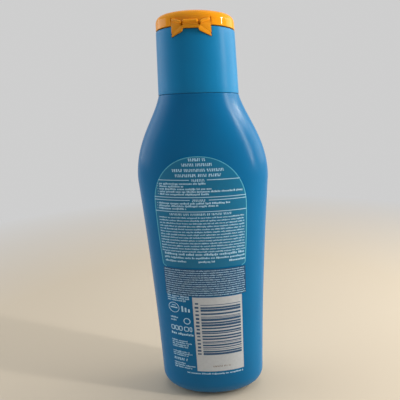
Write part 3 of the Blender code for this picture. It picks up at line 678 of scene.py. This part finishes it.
def rib_meshes():
    """Four ribs that tie the sleeve to the skirt and take the bottle's lugs between them."""
    rib_foot = LEDGE_HEIGHT + RIB_ABOVE_LEDGE
    rib_top = DECK_UNDERSIDE + DECK_WALL / 2
    inner = NECK_RADIUS + NECK_FOOT_RADIUS + SLEEVE_WALL
    outer = cap_half(rib_top)[0] - SKIRT_WALL / 2
    offset = (LUG_WIDTH + RIB_THICKNESS) / 2 + FIT_GAP
    size = (outer - inner, RIB_THICKNESS, rib_top - rib_foot)
    for side in (1, -1):
        for edge in (1, -1):
            yield box_mesh(size, (side * (inner + outer) / 2, edge * offset, (rib_foot + rib_top) / 2))


def scoop_mesh():
    """The lying drum with round ends that cuts the thumb scoop under the lid's front lip."""
    drum = bmesh.new()
    bmesh.ops.create_uvsphere(
        drum, u_segments=SCOOP_SEGMENTS, v_segments=SCOOP_SEGMENTS // 2, radius=SCOOP_RADIUS
    )
    height = DECK_HEIGHT - SCOOP_BELOW_DECK
    front = cap_half(height)[1]
    reach = math.sqrt(SCOOP_RADIUS**2 - (SCOOP_RADIUS - SCOOP_DEPTH) ** 2)
    bmesh.ops.scale(drum, verts=drum.verts, vec=(SCOOP_HALF_WIDTH / reach, 1, 1))
    bmesh.ops.translate(drum, verts=drum.verts, vec=(0, front - SCOOP_DEPTH + SCOOP_RADIUS, height))
    return mesh_of(drum)


def make_closure(material):
    mesh = combined(loft(closure_sections(), looped=True), "UNION", *rib_meshes())
    mesh = combined(mesh, "DIFFERENCE", scoop_mesh(), pocket_mesh())
    piece = add_piece("closure_shell", mesh, material, "bottle")
    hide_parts("cap_base")


def hinge_points():
    """The film's corner points on the +X side: apex on the hinge line, top on the lid, foot on the skirt."""
    line_depth = cap_half(HINGE_HEIGHT)[1] + HINGE_PROUD
    points = [Vector((BAR_HALF_LENGTH + WING_APEX_GAP, -line_depth, HINGE_HEIGHT))]
    for out, rise, proud in (WING_TOP, WING_FOOT):
        height = HINGE_HEIGHT + rise
        points.append(rear_point(cap_half(height), out, height, proud))
    return points


def wing_normal():
    """The direction square to the +X wing, into the closure."""
    apex, top, foot = hinge_points()
    return (top - apex).cross(foot - apex).normalized()


def square_to(edge, corner):
    """The direction square to an edge, from the apex, that points towards the triangle's other corner."""
    return (corner - edge * corner.dot(edge)).normalized()


def mirrored(point, side):
    return Vector((point.x * side, point.y, point.z))


def leg_share(across):
    """How far a place across lies along a leg, from 0 at the apex to 1 at the wing's foot."""
    apex, _, foot = hinge_points()
    return max(0, (across - apex.x) / (foot.x - apex.x))


def rear_slab(half_columns, back, front_at):
    """A slab on the closure's rear, over columns of (across, low, high) from the bar's end out to +X.

    The -X side and the bar are added. back and front_at say how far proud it starts and ends.
    """
    _, bar_low, bar_high = half_columns[0]
    bar = [(across, bar_low, bar_high) for across in spaced(-BAR_HALF_LENGTH, BAR_HALF_LENGTH, BAND_STEPS)]
    outside = half_columns[1:]
    columns = [(-across, low, high) for across, low, high in reversed(outside)] + bar + outside
    slab = bmesh.new()
    rings = []
    for across, low, high in columns:
        front = front_at(across)
        corners = [(low, front), (high, front), (high, back), (low, back)]
        rings.append([slab.verts.new(rear_point(cap_half(z), across, z, proud)) for z, proud in corners])
    skin_rings(slab, rings, capped=True)
    return mesh_of(slab)


def anchor_columns():
    """The +X half of the orange band under the straight film, and its leg under the wing's lower film."""
    apex, _, foot = hinge_points()
    columns = [(BAR_HALF_LENGTH, FILM_LOW - BAND_HEIGHT, FILM_LOW)]
    for share in spaced(0, 1, POCKET_STEPS):
        across = apex.x + (foot.x - apex.x) * share
        edge = apex.z + (foot.z - apex.z) * share - FILM_GAP
        leg_height = LEG_ROOT_HEIGHT + (LEG_TIP_HEIGHT - LEG_ROOT_HEIGHT) * share
        columns.append((across, edge - leg_height, edge))
    return columns


def pocket_mesh():
    """The pocket that the anchor, the wings and the strap lie in, drawn round their outline."""
    _, top, foot = hinge_points()
    inner_high = FILM_HIGH + STRAP_HEIGHT + POCKET_MARGIN
    outer_high = top.z + POCKET_MARGIN
    columns = []
    for across, low, _ in anchor_columns():
        high = inner_high + (outer_high - inner_high) * leg_share(across)
        columns.append((across, low - POCKET_MARGIN, high))
    columns.append((foot.x + POCKET_MARGIN, *columns[-1][1:]))
    return rear_slab(columns, -POCKET_DEPTH, lambda across: POCKET_PROUD)


def film_proud(across):
    """How far the film stands proud: level along the middle bar, then straight towards the wing's foot."""
    apex, _, foot = hinge_points()
    place = min(abs(across), foot.x)
    share = leg_share(place)
    depth = apex.y + (foot.y - apex.y) * share
    height = apex.z + (foot.z - apex.z) * share
    return rear_point(cap_half(height), place, height, 0).y - depth


def make_anchor(material):
    mesh = rounded(rear_slab(anchor_columns(), FIT_GAP - POCKET_DEPTH, film_proud), HINGE_EDGE)
    piece = add_piece("hinge_band", mesh, material, "bottle")
    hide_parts("hinge_anchor")


def lid_sections():
    """Rings from the plug's middle out under the ceiling, down inside, round the lip and over the dome."""
    slope = 2 * LID_DOME / (RIM_HALF[0] - LID_EDGE_RADIUS)
    edge_end = QUARTER - math.atan(slope)
    edge_foot = RIM_HEIGHT - LID_EDGE_RADIUS
    lip_edge = LID_FOOT + LID_LIP_EDGE
    plug_inner = LID_PLUG_RADIUS - LID_PLUG_WALL
    rings = round_rings([
        (0, LID_CEILING),
        (plug_inner, LID_CEILING),
        (plug_inner, LID_PLUG_FOOT),
        (LID_PLUG_RADIUS - LID_PLUG_CHAMFER, LID_PLUG_FOOT),
        (LID_PLUG_RADIUS, LID_PLUG_FOOT + LID_PLUG_CHAMFER),
        (LID_PLUG_RADIUS, LID_CEILING),
    ])
    rings += rings_at(cap_half, [LID_CEILING], LID_WALL + LID_EDGE_RADIUS / 2)
    rings += rings_at(cap_half, [LID_CEILING - LID_EDGE_RADIUS / 2, LID_FOOT], LID_WALL)
    rings += edge_rings(cap_half, LID_LIP_EDGE, lip_edge, LID_LIP_EDGE, -QUARTER, 0)
    rings += rings_at(cap_half, spaced(lip_edge, edge_foot, WALL_STEPS)[1:-1])
    rings += edge_rings(cap_half, LID_EDGE_RADIUS, edge_foot, LID_EDGE_RADIUS, 0, edge_end, LID_EDGE_STEPS)
    half_width, half_depth, dome_foot = rings[-1]
    for share in spaced(1, 0, LID_DOME_STEPS)[1:]:
        rings.append((half_width * share, half_depth * share, dome_foot + LID_DOME * (1 - share**2)))
    return rings


def strap_mesh():
    """The block at the foot of the lid's rear that the straight film hangs from."""
    outer = hinge_points()[0].y
    inner = -(cap_half(FILM_HIGH)[1] - LID_WALL / 2 - POCKET_DEPTH / 2)
    size = (2 * BAR_HALF_LENGTH, inner - outer, STRAP_HEIGHT)
    centre = (0, (inner + outer) / 2, FILM_HIGH + STRAP_HEIGHT / 2)
    return rounded(box_mesh(size, centre), HINGE_EDGE)


def roll_mesh(start, finish, end_radius, middle_radius):
    """A closed round bead on a straight line, with rounded ends."""
    along = (finish - start).normalized()
    aside = along.orthogonal().normalized()
    upright = along.cross(aside)
    reach = (finish - start).length / 2
    skin = bmesh.new()
    rings = []
    for place in spaced(-1, 1, ROLL_STEPS):
        radius = middle_radius + (end_radius - middle_radius) * place * place
        end = max(0, abs(place) * reach - (reach - radius / 2)) / (radius / 2)
        radius *= ROLL_END_SHARE + (1 - ROLL_END_SHARE) * math.sqrt(max(0, 1 - end * end))
        centre = start.lerp(finish, (place + 1) / 2)
        spokes = [aside * math.cos(turn) + upright * math.sin(turn) for turn in round_turns(ROLL_SIDES)]
        rings.append([skin.verts.new(centre + spoke * radius) for spoke in spokes])
    skin_rings(skin, rings, capped=True)
    return mesh_of(skin)


def rod_mesh():
    """The rod above the strap, waisted in the middle."""
    reach = Vector((BAR_HALF_LENGTH - FIT_GAP / 2, 0, 0))
    centre = Vector((0, hinge_points()[0].y - ROD_PROUD + ROD_RADIUS, FILM_HIGH + STRAP_HEIGHT))
    return roll_mesh(centre - reach, centre + reach, ROD_RADIUS, ROD_RADIUS - ROD_WAIST)


def wing_roll_mesh(side):
    """The full rolled edge along the top of a wing, from beside the rod's end out to the wing's corner."""
    apex, top, foot = hinge_points()
    start = apex + Vector((ROLL_ROOT_OUT, 0, ROLL_ROOT_RISE))
    finish = apex.lerp(top, ROLL_FINISH_SHARE)
    finish += square_to((top - apex).normalized(), foot - apex) * ROLL_DROP - wing_normal() * ROLL_PROUD
    return roll_mesh(mirrored(start, side), mirrored(finish, side), ROLL_END_RADIUS, ROLL_MIDDLE_RADIUS)


def make_lid(material):
    mesh = combined(loft(lid_sections()), "DIFFERENCE", pocket_mesh())
    mesh = welded(combined(mesh, "UNION", strap_mesh(), rod_mesh()))
    piece = add_piece("lid_shell", mesh, material, "lid")
    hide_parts("flip_lid")


def wing_outline():
    """The +X wing's ridged outer face: the films' triangle, drawn in all round and blunt at the apex."""
    apex, top, foot = hinge_points()
    to_top = (top - apex).normalized()
    to_foot = (foot - apex).normalized()
    near = apex + (to_top + to_foot).normalized() * (WING_APEX_HEIGHT / 2)
    half_blunt = (top - foot).normalized() * (WING_APEX_HEIGHT / 4)
    low = foot + square_to(to_foot, top - apex) * FILM_GAP
    high = top + square_to(to_top, foot - apex) * WING_EDGE_GAP
    ridge = low.lerp(high, WING_RIDGE_SHARE) - wing_normal() * WING_RIDGE
    return low, ridge, high, near + half_blunt, near, near - half_blunt


def make_wing(side, label, material):
    """A three-cornered plate with a low ridge that rides between the closure's leg and the lid."""
    plate = bmesh.new()
    low, ridge, high, inner_high, inner_ridge, inner_low = map(plate.verts.new, wing_outline())
    faces = [plate.faces.new((low, ridge, inner_ridge, inner_low))]
    faces.append(plate.faces.new((ridge, high, inner_high, inner_ridge)))
    grown = bmesh.ops.extrude_face_region(plate, geom=faces)
    moved = [part for part in grown["geom"] if isinstance(part, bmesh.types.BMVert)]
    bmesh.ops.translate(plate, verts=moved, vec=wing_normal() * WING_THICKNESS)
    for vertex in plate.verts:
        vertex.co = mirrored(vertex.co, side)
    mesh = rounded(mesh_of(plate), HINGE_EDGE)
    mesh = welded(combined(mesh, "UNION", wing_roll_mesh(side)))
    piece = add_piece(f"wing_{label}_plate", mesh, material, f"wing_{label}")
    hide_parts(f"hinge_wing_{label}")


def slab_grid(sheet, rows, outer, inner):
    """A closed slab over rows of (along, [places across]), between an outer and an inner face."""
    rings = []
    for along, places in rows:
        front = [sheet.verts.new(outer(place, along)) for place in places]
        rings.append(front + [sheet.verts.new(inner(place, along)) for place in reversed(places)])
    skin_rings(sheet, rings)
    for ring in (rings[0], rings[-1]):
        for left in range(len(ring) // 2 - 1):
            sheet.faces.new((ring[left], ring[left + 1], ring[-left - 2], ring[-left - 1]))


def film_mesh(near_edge, far_edge, inward):
    """A thin film between two edges, each a pair of end points, with its thickness inward."""

    def outer(across, along):
        return near_edge[0].lerp(near_edge[1], across).lerp(far_edge[0].lerp(far_edge[1], across), along)

    def inner(across, along):
        return outer(across, along) + inward

    sheet = bmesh.new()
    slab_grid(sheet, [(along, spaced(0, 1, FILM_STEPS)) for along in spaced(0, 1, FILM_STEPS)], outer, inner)
    return mesh_of(sheet)


def make_middle_film(material):
    """The straight film between the closure's band and the lid's strap."""
    reach = BAR_HALF_LENGTH - HINGE_EDGE
    low, high = FILM_LOW, FILM_HIGH
    face = hinge_points()[0].y + HINGE_EDGE / 2
    edges = []
    for height in (low - FILM_ROOT, high + FILM_ROOT):
        edges.append((Vector((-reach, face, height)), Vector((reach, face, height))))
    mesh = film_mesh(*edges, Vector((0, HINGE_FILM, 0)))
    piece = add_piece("film_middle", mesh, material, None)
    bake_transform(piece)


def make_wing_film(side, label, material):
    """The slanting film between the closure's leg and a wing's lower edge."""
    apex, top, foot = hinge_points()
    normal = wing_normal()
    across = square_to((foot - apex).normalized(), top - apex)

    def film_edge(reach):
        """The film's two end points at a reach across the film line, from the leg to the wing."""
        ends = [apex.lerp(foot, share) for share in WING_FILM_SPAN]
        return [mirrored(end + across * reach + normal * (HINGE_EDGE / 2), side) for end in ends]

    leg_edge = film_edge(-(FILM_GAP * WING_FILM_LEG_SHARE + FILM_ROOT))
    wing_edge = film_edge(FILM_GAP + FILM_ROOT)
    mesh = film_mesh(leg_edge, wing_edge, mirrored(normal, side) * HINGE_FILM)
    piece = add_piece(f"film_{label}", mesh, material, None)
    middle = apex.lerp(foot, 0.5)
    start = mirrored(middle - across * FILM_GAP * 0.5, side)
    end = mirrored(middle + across * FILM_GAP, side)
    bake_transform(piece)


def arch_half(arch, height):
    """Half width of an arch: it widens from its rounded foot and closes above its spring."""
    foot, foot_radius, foot_half, spring_half, peak = arch
    if height > SPRING_HEIGHT:
        rise_share = min(1, (height - SPRING_HEIGHT) / (peak - SPRING_HEIGHT))
        return spring_half * (1 - rise_share**ARCH_POWER) ** (1 / ARCH_POWER)
    share = (height - foot) / (SPRING_HEIGHT - foot)
    half = foot_half + (spring_half - foot_half) * math.sin(share * QUARTER)
    drop = max(0, foot + foot_radius - height)
    return half - foot_radius + math.sqrt(max(0, foot_radius**2 - drop**2))


def arch_outline(arch, steps, arch_end):
    """The right side of an arch as (half width, height), close together round its corner and at its peak."""
    foot, foot_radius, _, _, peak = arch
    corner_turns, arch_turns = spaced(0, QUARTER, steps[0]), spaced(0, arch_end, steps[2])[1:]
    heights = [foot + foot_radius * (1 - math.cos(turn)) for turn in corner_turns]
    heights += spaced(foot + foot_radius, SPRING_HEIGHT, steps[1])[1:]
    heights += [SPRING_HEIGHT + (peak - SPRING_HEIGHT) * math.sin(turn) for turn in arch_turns]
    return [(arch_half(arch, height), height) for height in heights]


def on_bottle(proud):
    """A function that puts a place across and a height on the bottle's rear, standing proud of it."""
    return lambda across, height: rear_point(bottle_half(height), across, height, proud)


class Print:
    """One layer on the label, built up from flat marks, each a closed slab. Layer 0 is the film itself."""

    dice = random.Random(11)

    def __init__(self, name, material, layer):
        self.name = name
        self.material = material
        self.outer = on_bottle(LABEL_PROUD + layer * INK_LAYER)
        self.inner = on_bottle(LABEL_PROUD - INK_ROOT if layer else -LABEL_ROOT)
        self.sheet = bmesh.new()

    def arch(self, outline):
        """An area between its right side, given as (half width, height) in metres, and its left."""
        rows = [(height, spaced(-half, half, LABEL_COLUMNS)) for half, height in outline]
        slab_grid(self.sheet, rows, self.outer, self.inner)

    def ribbon(self, path, width):
        """A line of even width along a closed path of (across, height) places, in metres."""
        rings = []
        for step in range(len(path)):
            before, here, after = (Vector(path[(step + shift) % len(path)]) for shift in (-1, 0, 1))
            along = (after - before).normalized()
            aside = Vector((along.y, -along.x)) * width / 2
            edges = (here + aside, here - aside)
            corners = [self.outer(*edge) for edge in edges] + [self.inner(*edge) for edge in reversed(edges)]
            rings.append([self.sheet.verts.new(corner) for corner in corners])
        skin_rings(self.sheet, rings, looped=True)

    def ring(self, across, height, half_width, half_height, width, steps, power):
        """A ring. The higher the power, the squarer it is."""
        path = []
        for turn in round_turns(steps):
            aside, above = math.cos(turn), math.sin(turn)
            squared = (abs(aside) ** power + abs(above) ** power) ** (-1 / power)
            place = (across + half_width * aside * squared, height + half_height * above * squared)
            path.append((place[0] * MM, place[1] * MM))
        self.ribbon(path, width * MM)

    def block(self, left, right, low, high):
        """An upright rectangle."""
        columns = max(1, math.ceil((right - left) / INK_SPAN))
        rows = max(1, math.ceil((high - low) / (4 * INK_SPAN)))
        places = spaced(left * MM, right * MM, columns)
        heights = spaced(low * MM, high * MM, rows)
        slab_grid(self.sheet, [(height, places) for height in heights], self.outer, self.inner)

    def capital(self, left, right, base, tall):
        """Two blocks, one over the other and out of line."""
        split = base + tall * self.dice.uniform(*SPLIT_SPAN)
        slant = (right - left) * self.dice.uniform(*SLANT_SPAN)
        lefts = (left, left + slant)
        low_left, high_left = lefts if self.dice.random() < LEANING_CHANCE else reversed(lefts)
        wide = right - left - slant
        self.block(low_left, low_left + wide, base, split)
        self.block(high_left, high_left + wide, split + SPLIT_GAP * tall, base + tall)

    def small_mark(self, left, right, base, tall):
        """A low block. Some rise to the row's full height, and a few reach below it."""
        rise = 1.0 if self.dice.random() < RISING_CHANCE else LOW_MARK_SHARE
        tail = TAIL_SHARE if self.dice.random() < TAIL_CHANCE else 0
        self.block(left, right, base - tail * tall, base + rise * tall)

    def words(self, left, right, base, tall, mark=small_mark):
        """A row of letterless marks that stand for small print, in words of uneven length."""
        place = left
        while place < right - ROW_END_ROOM * tall:
            word_end = min(place + self.dice.uniform(*WORD_SPAN) * tall, right - WORD_END_ROOM * tall)
            while place < word_end:
                wide = tall * self.dice.uniform(*MARK_SPAN)
                mark(self, place, min(place + wide, right), base, tall)
                place += wide + MARK_GAP * tall
            place += WORD_GAP * tall

    def paragraph(self, left, right, top, foot, rows, fill=EVEN_FILL, ragged=0.0):
        """Evenly spaced rows of small print that fill a block."""
        pitch = (top - foot) / rows
        for row in range(rows):
            end = right - self.dice.random() * ragged
            self.words(left, end, top - pitch * (row + 1 - PITCH_FOOT_SHARE), pitch * fill)

    def finish(self, smooth_angle=INK_SMOOTH_ANGLE):
        mesh = mesh_of(self.sheet)
        return add_piece(self.name, mesh, self.material, "bottle", smooth_angle)


def make_label(material):
    film = Print("label_film", material, 0)
    film.arch(arch_outline(LABEL_ARCH, LABEL_STEPS, ARCH_END))
    piece = film.finish(SMOOTH_ANGLE)
    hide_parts("rear_label")


def make_panel():
    """The arched panel, its outline, the dark block below it and the code's box."""
    panel = Print("label_panel", printing_ink("panel_teal"), 1)
    panel.arch(arch_outline(PANEL_ARCH, PANEL_STEPS, ARCH_END))
    panel.finish()

    outline = Print("label_outline", printing_ink("outline_ink"), 2)
    right = arch_outline(PANEL_ARCH, OUTLINE_STEPS, QUARTER)[:-1]
    outline.ribbon(right + [(-half, height) for half, height in reversed(right)], OUTLINE_WIDTH)
    outline.finish()

    for name, ink, layer, block in (
        ("label_ground", "block_navy", 1, NAVY_BLOCK), ("code_box", "box_grey", 2, CODE_BLOCK)
    ):
        area = Print(name, printing_ink(ink), layer)
        area.block(*block)
        area.finish()


def print_panel_text(ink):
    """Headings, rules, dotted lists and small print on the panel."""
    for half, base, tall in HEADINGS:
        ink.words(-half, half, base, tall, Print.capital)
    for left, right, height in RULES:
        ink.block(left, right, height - RULE_WIDTH / 2, height + RULE_WIDTH / 2)
    for dot_left, left, top, pitch, reaches in LISTS:
        for row, reach in enumerate(reaches):
            base = top - pitch * row
            ink.block(dot_left, dot_left + DOT_SIZE, base + DOT_RISE, base + DOT_RISE + DOT_SIZE)
            ink.words(left, reach, base, LIST_HEIGHT)
    ink.paragraph(-19.6, 20.0, 103.6, 85.6, rows=13, fill=0.46)
    ink.words(-18.5, 19.5, base=84.2, tall=1.1)
    ink.words(-18.6, 19.8, base=82.5, tall=0.9)
    for left, right in ((-18.4, -8.0), (-2.0, 6.0), (12.5, 19.8)):
        ink.words(left, right, base=80.6, tall=0.95)


def print_column_text(ink):
    """The dark block's small print, and the column of signs and small print beside the code's box."""
    ink.paragraph(-19.6, 19.6, 77.0, 62.8, rows=12, fill=0.42)
    ink.paragraph(-19.3, -7.7, 62.6, 59.0, rows=3, fill=0.66, ragged=2)
    for across, height, radius, width in CIRCLES:
        ink.ring(across, height, radius, radius, width, CIRCLE_STEPS, CIRCLE_POWER)
    for block in SIGN_BLOCKS:
        ink.block(*block)
    ink.words(-18.6, -14.4, base=49.2, tall=0.9)
    ink.words(-18.6, -15.4, base=47.6, tall=0.9)
    for across, half_width in SIGN_BOXES:
        size = (half_width, SIGN_BOX_HALF_HEIGHT, SIGN_BOX_LINE)
        ink.ring(across, SIGN_BOX_HEIGHT, *size, BOX_STEPS, BOX_POWER)
    ink.words(-18.9, -7.0, base=39.6, tall=1.3)
    ink.paragraph(-19.0, -7.4, 36.6, 31.6, rows=4, ragged=4)
    ink.paragraph(-19.0, -7.4, 29.8, 26.4, rows=3, ragged=3)
    ink.words(-18.8, -11.0, base=23.8, tall=1.5, mark=Print.capital)
    ink.paragraph(-18.8, -7.4, 22.8, 18.8, rows=3, ragged=5)
    ink.words(-12.0, 17.6, base=16.4, tall=0.85)


def make_code_bars():
    """Bars of uneven thickness that follow no code, and a column of small marks beside them."""
    bars = Print("code_bars", printing_ink("bar_ink"), 3)
    left, right, foot, height = BARS_BLOCK
    while height > foot:
        thick = bars.dice.choice(BAR_MODULES) * BAR_MODULE
        bars.block(left, right, height - thick, height)
        height -= thick + bars.dice.choice(GAP_MODULES) * BAR_MODULE
    for step in range(SIDE_MARKS):
        top = SIDE_MARK_TOP - SIDE_MARK_PITCH * step
        left = bars.dice.uniform(*SIDE_MARK_LEFT)
        bars.block(left, SIDE_MARK_RIGHT, top - bars.dice.uniform(*SIDE_MARK_HEIGHT), top)
    bars.finish()


def make_printing():
    """Everything printed on the label. Nothing on it is a letter or a digit."""
    make_panel()
    ink = Print("small_print", printing_ink("pale_ink"), 3)
    print_panel_text(ink)
    print_column_text(ink)
    ink.finish()
    make_code_bars()
    stamp = Print("stamped_marks", printing_ink("stamp_ink"), 3)
    stamp.words(*STAMP_ROW, Print.capital)
    stamp.finish()


def add_node(tree, kind, inputs, operation=None, output=0):
    """Adds a shader node and returns an output. Each input is linked from a socket or set to a value."""
    node = tree.nodes.new(f"ShaderNode{kind}")
    if operation is not None:
        node.operation = operation
    for place, given in inputs.items():
        if isinstance(given, bpy.types.NodeSocket):
            tree.links.new(given, node.inputs[place])
        else:
            node.inputs[place].default_value = given
    return node.outputs[output]


def noise(tree, scale, detail, stretch=None):
    """Noise in the object's own coordinates, stretched along an axis if asked."""
    place = add_node(tree, "TexCoord", {}, output="Object")
    if stretch is not None:
        place = add_node(tree, "Mapping", {"Vector": place, "Scale": stretch})
    return add_node(tree, "TexNoise", {"Vector": place, "Scale": scale, "Detail": detail}, output="Fac")


def ranged(tree, source, given, wanted=(0.0, 1.0)):
    """Maps a value from the given range to the wanted one and clamps it."""
    ends = {"From Min": given[0], "From Max": given[1], "To Min": wanted[0], "To Max": wanted[1]}
    return add_node(tree, "MapRange", {"Value": source, **ends})


def mixed_colour(tree, factor, first, second):
    return add_node(tree, "MixRGB", {"Fac": factor, "Color1": (*first, 1), "Color2": (*second, 1)})


def add_bump(tree, shader, height, distance, before=None):
    inputs = {"Strength": 1.0, "Distance": distance, "Height": height}
    if before is not None:
        inputs["Normal"] = before
    normal = add_node(tree, "Bump", inputs)
    tree.links.new(normal, shader.inputs["Normal"])
    return normal


def drifting(name, colours, roughness, texture, given=TONE_RANGE):
    """A new material whose colour drifts between two. Returns it with its tree and shader."""
    material = bpy.data.materials.new(name)
    material.use_nodes = True
    tree = material.node_tree
    shader = tree.nodes["Principled BSDF"]
    shader.inputs["Base Color"].default_value = (*colours[0], 1)
    shader.inputs["Roughness"].default_value = roughness
    tone = ranged(tree, noise(tree, *texture), given)
    tree.links.new(mixed_colour(tree, tone, *colours), shader.inputs["Base Color"])
    return material, tree, shader


def moulded_plastic(name):
    """Moulded plastic with uneven gloss, fine grain and, on some, draw lines, slow waves or bloom."""
    *colours, roughness, specular, bloom, grain, lines, waves = PLASTICS[name]
    material, tree, shader = drifting(name, colours, roughness, PLASTIC_TONE)
    shader.inputs["Specular IOR Level"].default_value = specular
    shader.inputs["Sheen Weight"].default_value = bloom
    spread = [roughness + change for change in GLOSS_SPREAD]
    gloss = ranged(tree, noise(tree, *PLASTIC_GLOSS), GLOSS_RANGE, spread)
    tree.links.new(gloss, shader.inputs["Roughness"])
    normal = None
    for texture, height in zip(PLASTIC_BUMPS, (grain, lines, waves)):
        if height:
            normal = add_bump(tree, shader, noise(tree, *texture), height, normal)
    return material


def printing_ink(name):
    """Printed ink: its colour breaks up a little, as a screen print does."""
    *colours, roughness = INKS[name]
    material, tree, shader = drifting(name, colours, roughness, INK_TONE)
    shader.inputs["Specular IOR Level"].default_value = INK_SPECULAR
    add_bump(tree, shader, noise(tree, *INK_GRAIN), INK_GRAIN_HEIGHT)
    return material


def make_camera():
    data = bpy.data.cameras.new("photo_camera")
    camera = linked("photo_camera", data)
    data.sensor_width = SENSOR_WIDTH
    data.lens = FOCAL_PIXELS / FRAME_PIXELS * SENSOR_WIDTH
    data.shift_x = (FRAME_PIXELS / 2 - CENTRE_PIXEL[0]) / FRAME_PIXELS
    data.shift_y = (CENTRE_PIXEL[1] - FRAME_PIXELS / 2) / FRAME_PIXELS
    data.clip_start = CAMERA_CLIP
    camera.matrix_world = Matrix.Translation(CAMERA_PLACE)
    for angle, axis in ((-CAMERA_YAW, "Z"), (QUARTER - CAMERA_PITCH, "X"), (CAMERA_ROLL, "Z")):
        camera.matrix_world @= Matrix.Rotation(angle, 4, axis)
    bpy.context.scene.camera = camera


def area_light(name, place, size, power, colour, mirrored_in_gloss):
    """A soft rectangular lamp that faces the bottle's middle. One that gloss doesn't mirror only fills."""
    data = bpy.data.lights.new(name, "AREA")
    data.shape = "RECTANGLE"
    data.size, data.size_y = size
    data.energy = power
    data.color = colour
    lamp = linked(name, data)
    lamp.location = place
    lamp.visible_glossy = mirrored_in_gloss
    aim = Vector((0, 0, HIP_HEIGHT)) - Vector(place)
    lamp.rotation_mode = "QUATERNION"
    lamp.rotation_quaternion = aim.to_track_quat("-Z", "Y")


def seen_rays(tree):
    """1 for the rays that show a background, straight on, in gloss or through glass, and 0 for the others."""
    kinds = ("Is Camera Ray", "Is Glossy Ray", "Is Transmission Ray")
    seen, *others = (add_node(tree, "LightPath", {}, output=kind) for kind in kinds)
    for other in others:
        seen = add_node(tree, "Math", {0: seen, 1: other}, "MAXIMUM")
    return seen


def make_floor():
    """A wide floor that takes the bottle's shadow and fades into the background's tone away from it."""
    mesh = bpy.data.meshes.new("floor")
    sheet = bmesh.new()
    bmesh.ops.create_grid(sheet, x_segments=1, y_segments=1, size=FLOOR_REACH)
    sheet.to_mesh(mesh)
    sheet.free()
    floor = linked("floor", mesh)
    material, tree, shader = drifting("pale_floor", FLOOR_TONES, FLOOR_ROUGHNESS, FLOOR_TONE, GLOSS_RANGE)
    place = add_node(tree, "TexCoord", {}, output="Object")
    distance = add_node(tree, "VectorMath", {0: place}, "LENGTH", output="Value")
    fade = ranged(tree, distance, FLOOR_FADE)
    share = add_node(tree, "Math", {0: fade, 1: seen_rays(tree)}, "MULTIPLY")
    glow = add_node(tree, "Emission", {"Color": (*BACKGROUND_TONE, 1)})
    blend = add_node(tree, "MixShader", {"Fac": share, 1: shader.outputs["BSDF"], 2: glow})
    tree.links.new(blend, tree.nodes["Material Output"].inputs["Surface"])
    mesh.materials.append(material)
    floor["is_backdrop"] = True


def make_studio():
    """A dim world, and soft lamps: a window at the right with a bright jamb and head, a wall at the left."""
    world = bpy.data.worlds.new("studio")
    bpy.context.scene.world = world
    world.use_nodes = True
    tree = world.node_tree
    background = tree.nodes["Background"]
    colour = mixed_colour(tree, seen_rays(tree), WORLD_FILL, BACKGROUND_TONE)
    tree.links.new(colour, background.inputs["Color"])
    background.inputs["Strength"].default_value = 1.0
    for lamp in LAMPS:
        area_light(*lamp)


make_bottle(moulded_plastic("bottle_blue_plastic"))
make_label(moulded_plastic("label_film_plastic"))
make_closure(moulded_plastic("closure_blue_plastic"))
# The hinge's plastic is a darker copy of the lid's orange, with painted shade
shaded_hinge_plastic = moulded_plastic("hinge_orange_shaded_plastic")
make_anchor(shaded_hinge_plastic)
make_lid(moulded_plastic("lid_orange_plastic"))
make_middle_film(shaded_hinge_plastic)
for wing_side, wing_label in ((1, "right"), (-1, "left")):
    make_wing(wing_side, wing_label, shaded_hinge_plastic)
    make_wing_film(wing_side, wing_label, shaded_hinge_plastic)
make_printing()
make_camera()
make_floor()
make_studio()
bpy.context.scene.view_settings.view_transform = "Standard"

boxes = {"cad": cad_box, "visual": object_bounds()}
{name: [list(corner) for corner in box] for name, box in boxes.items()}
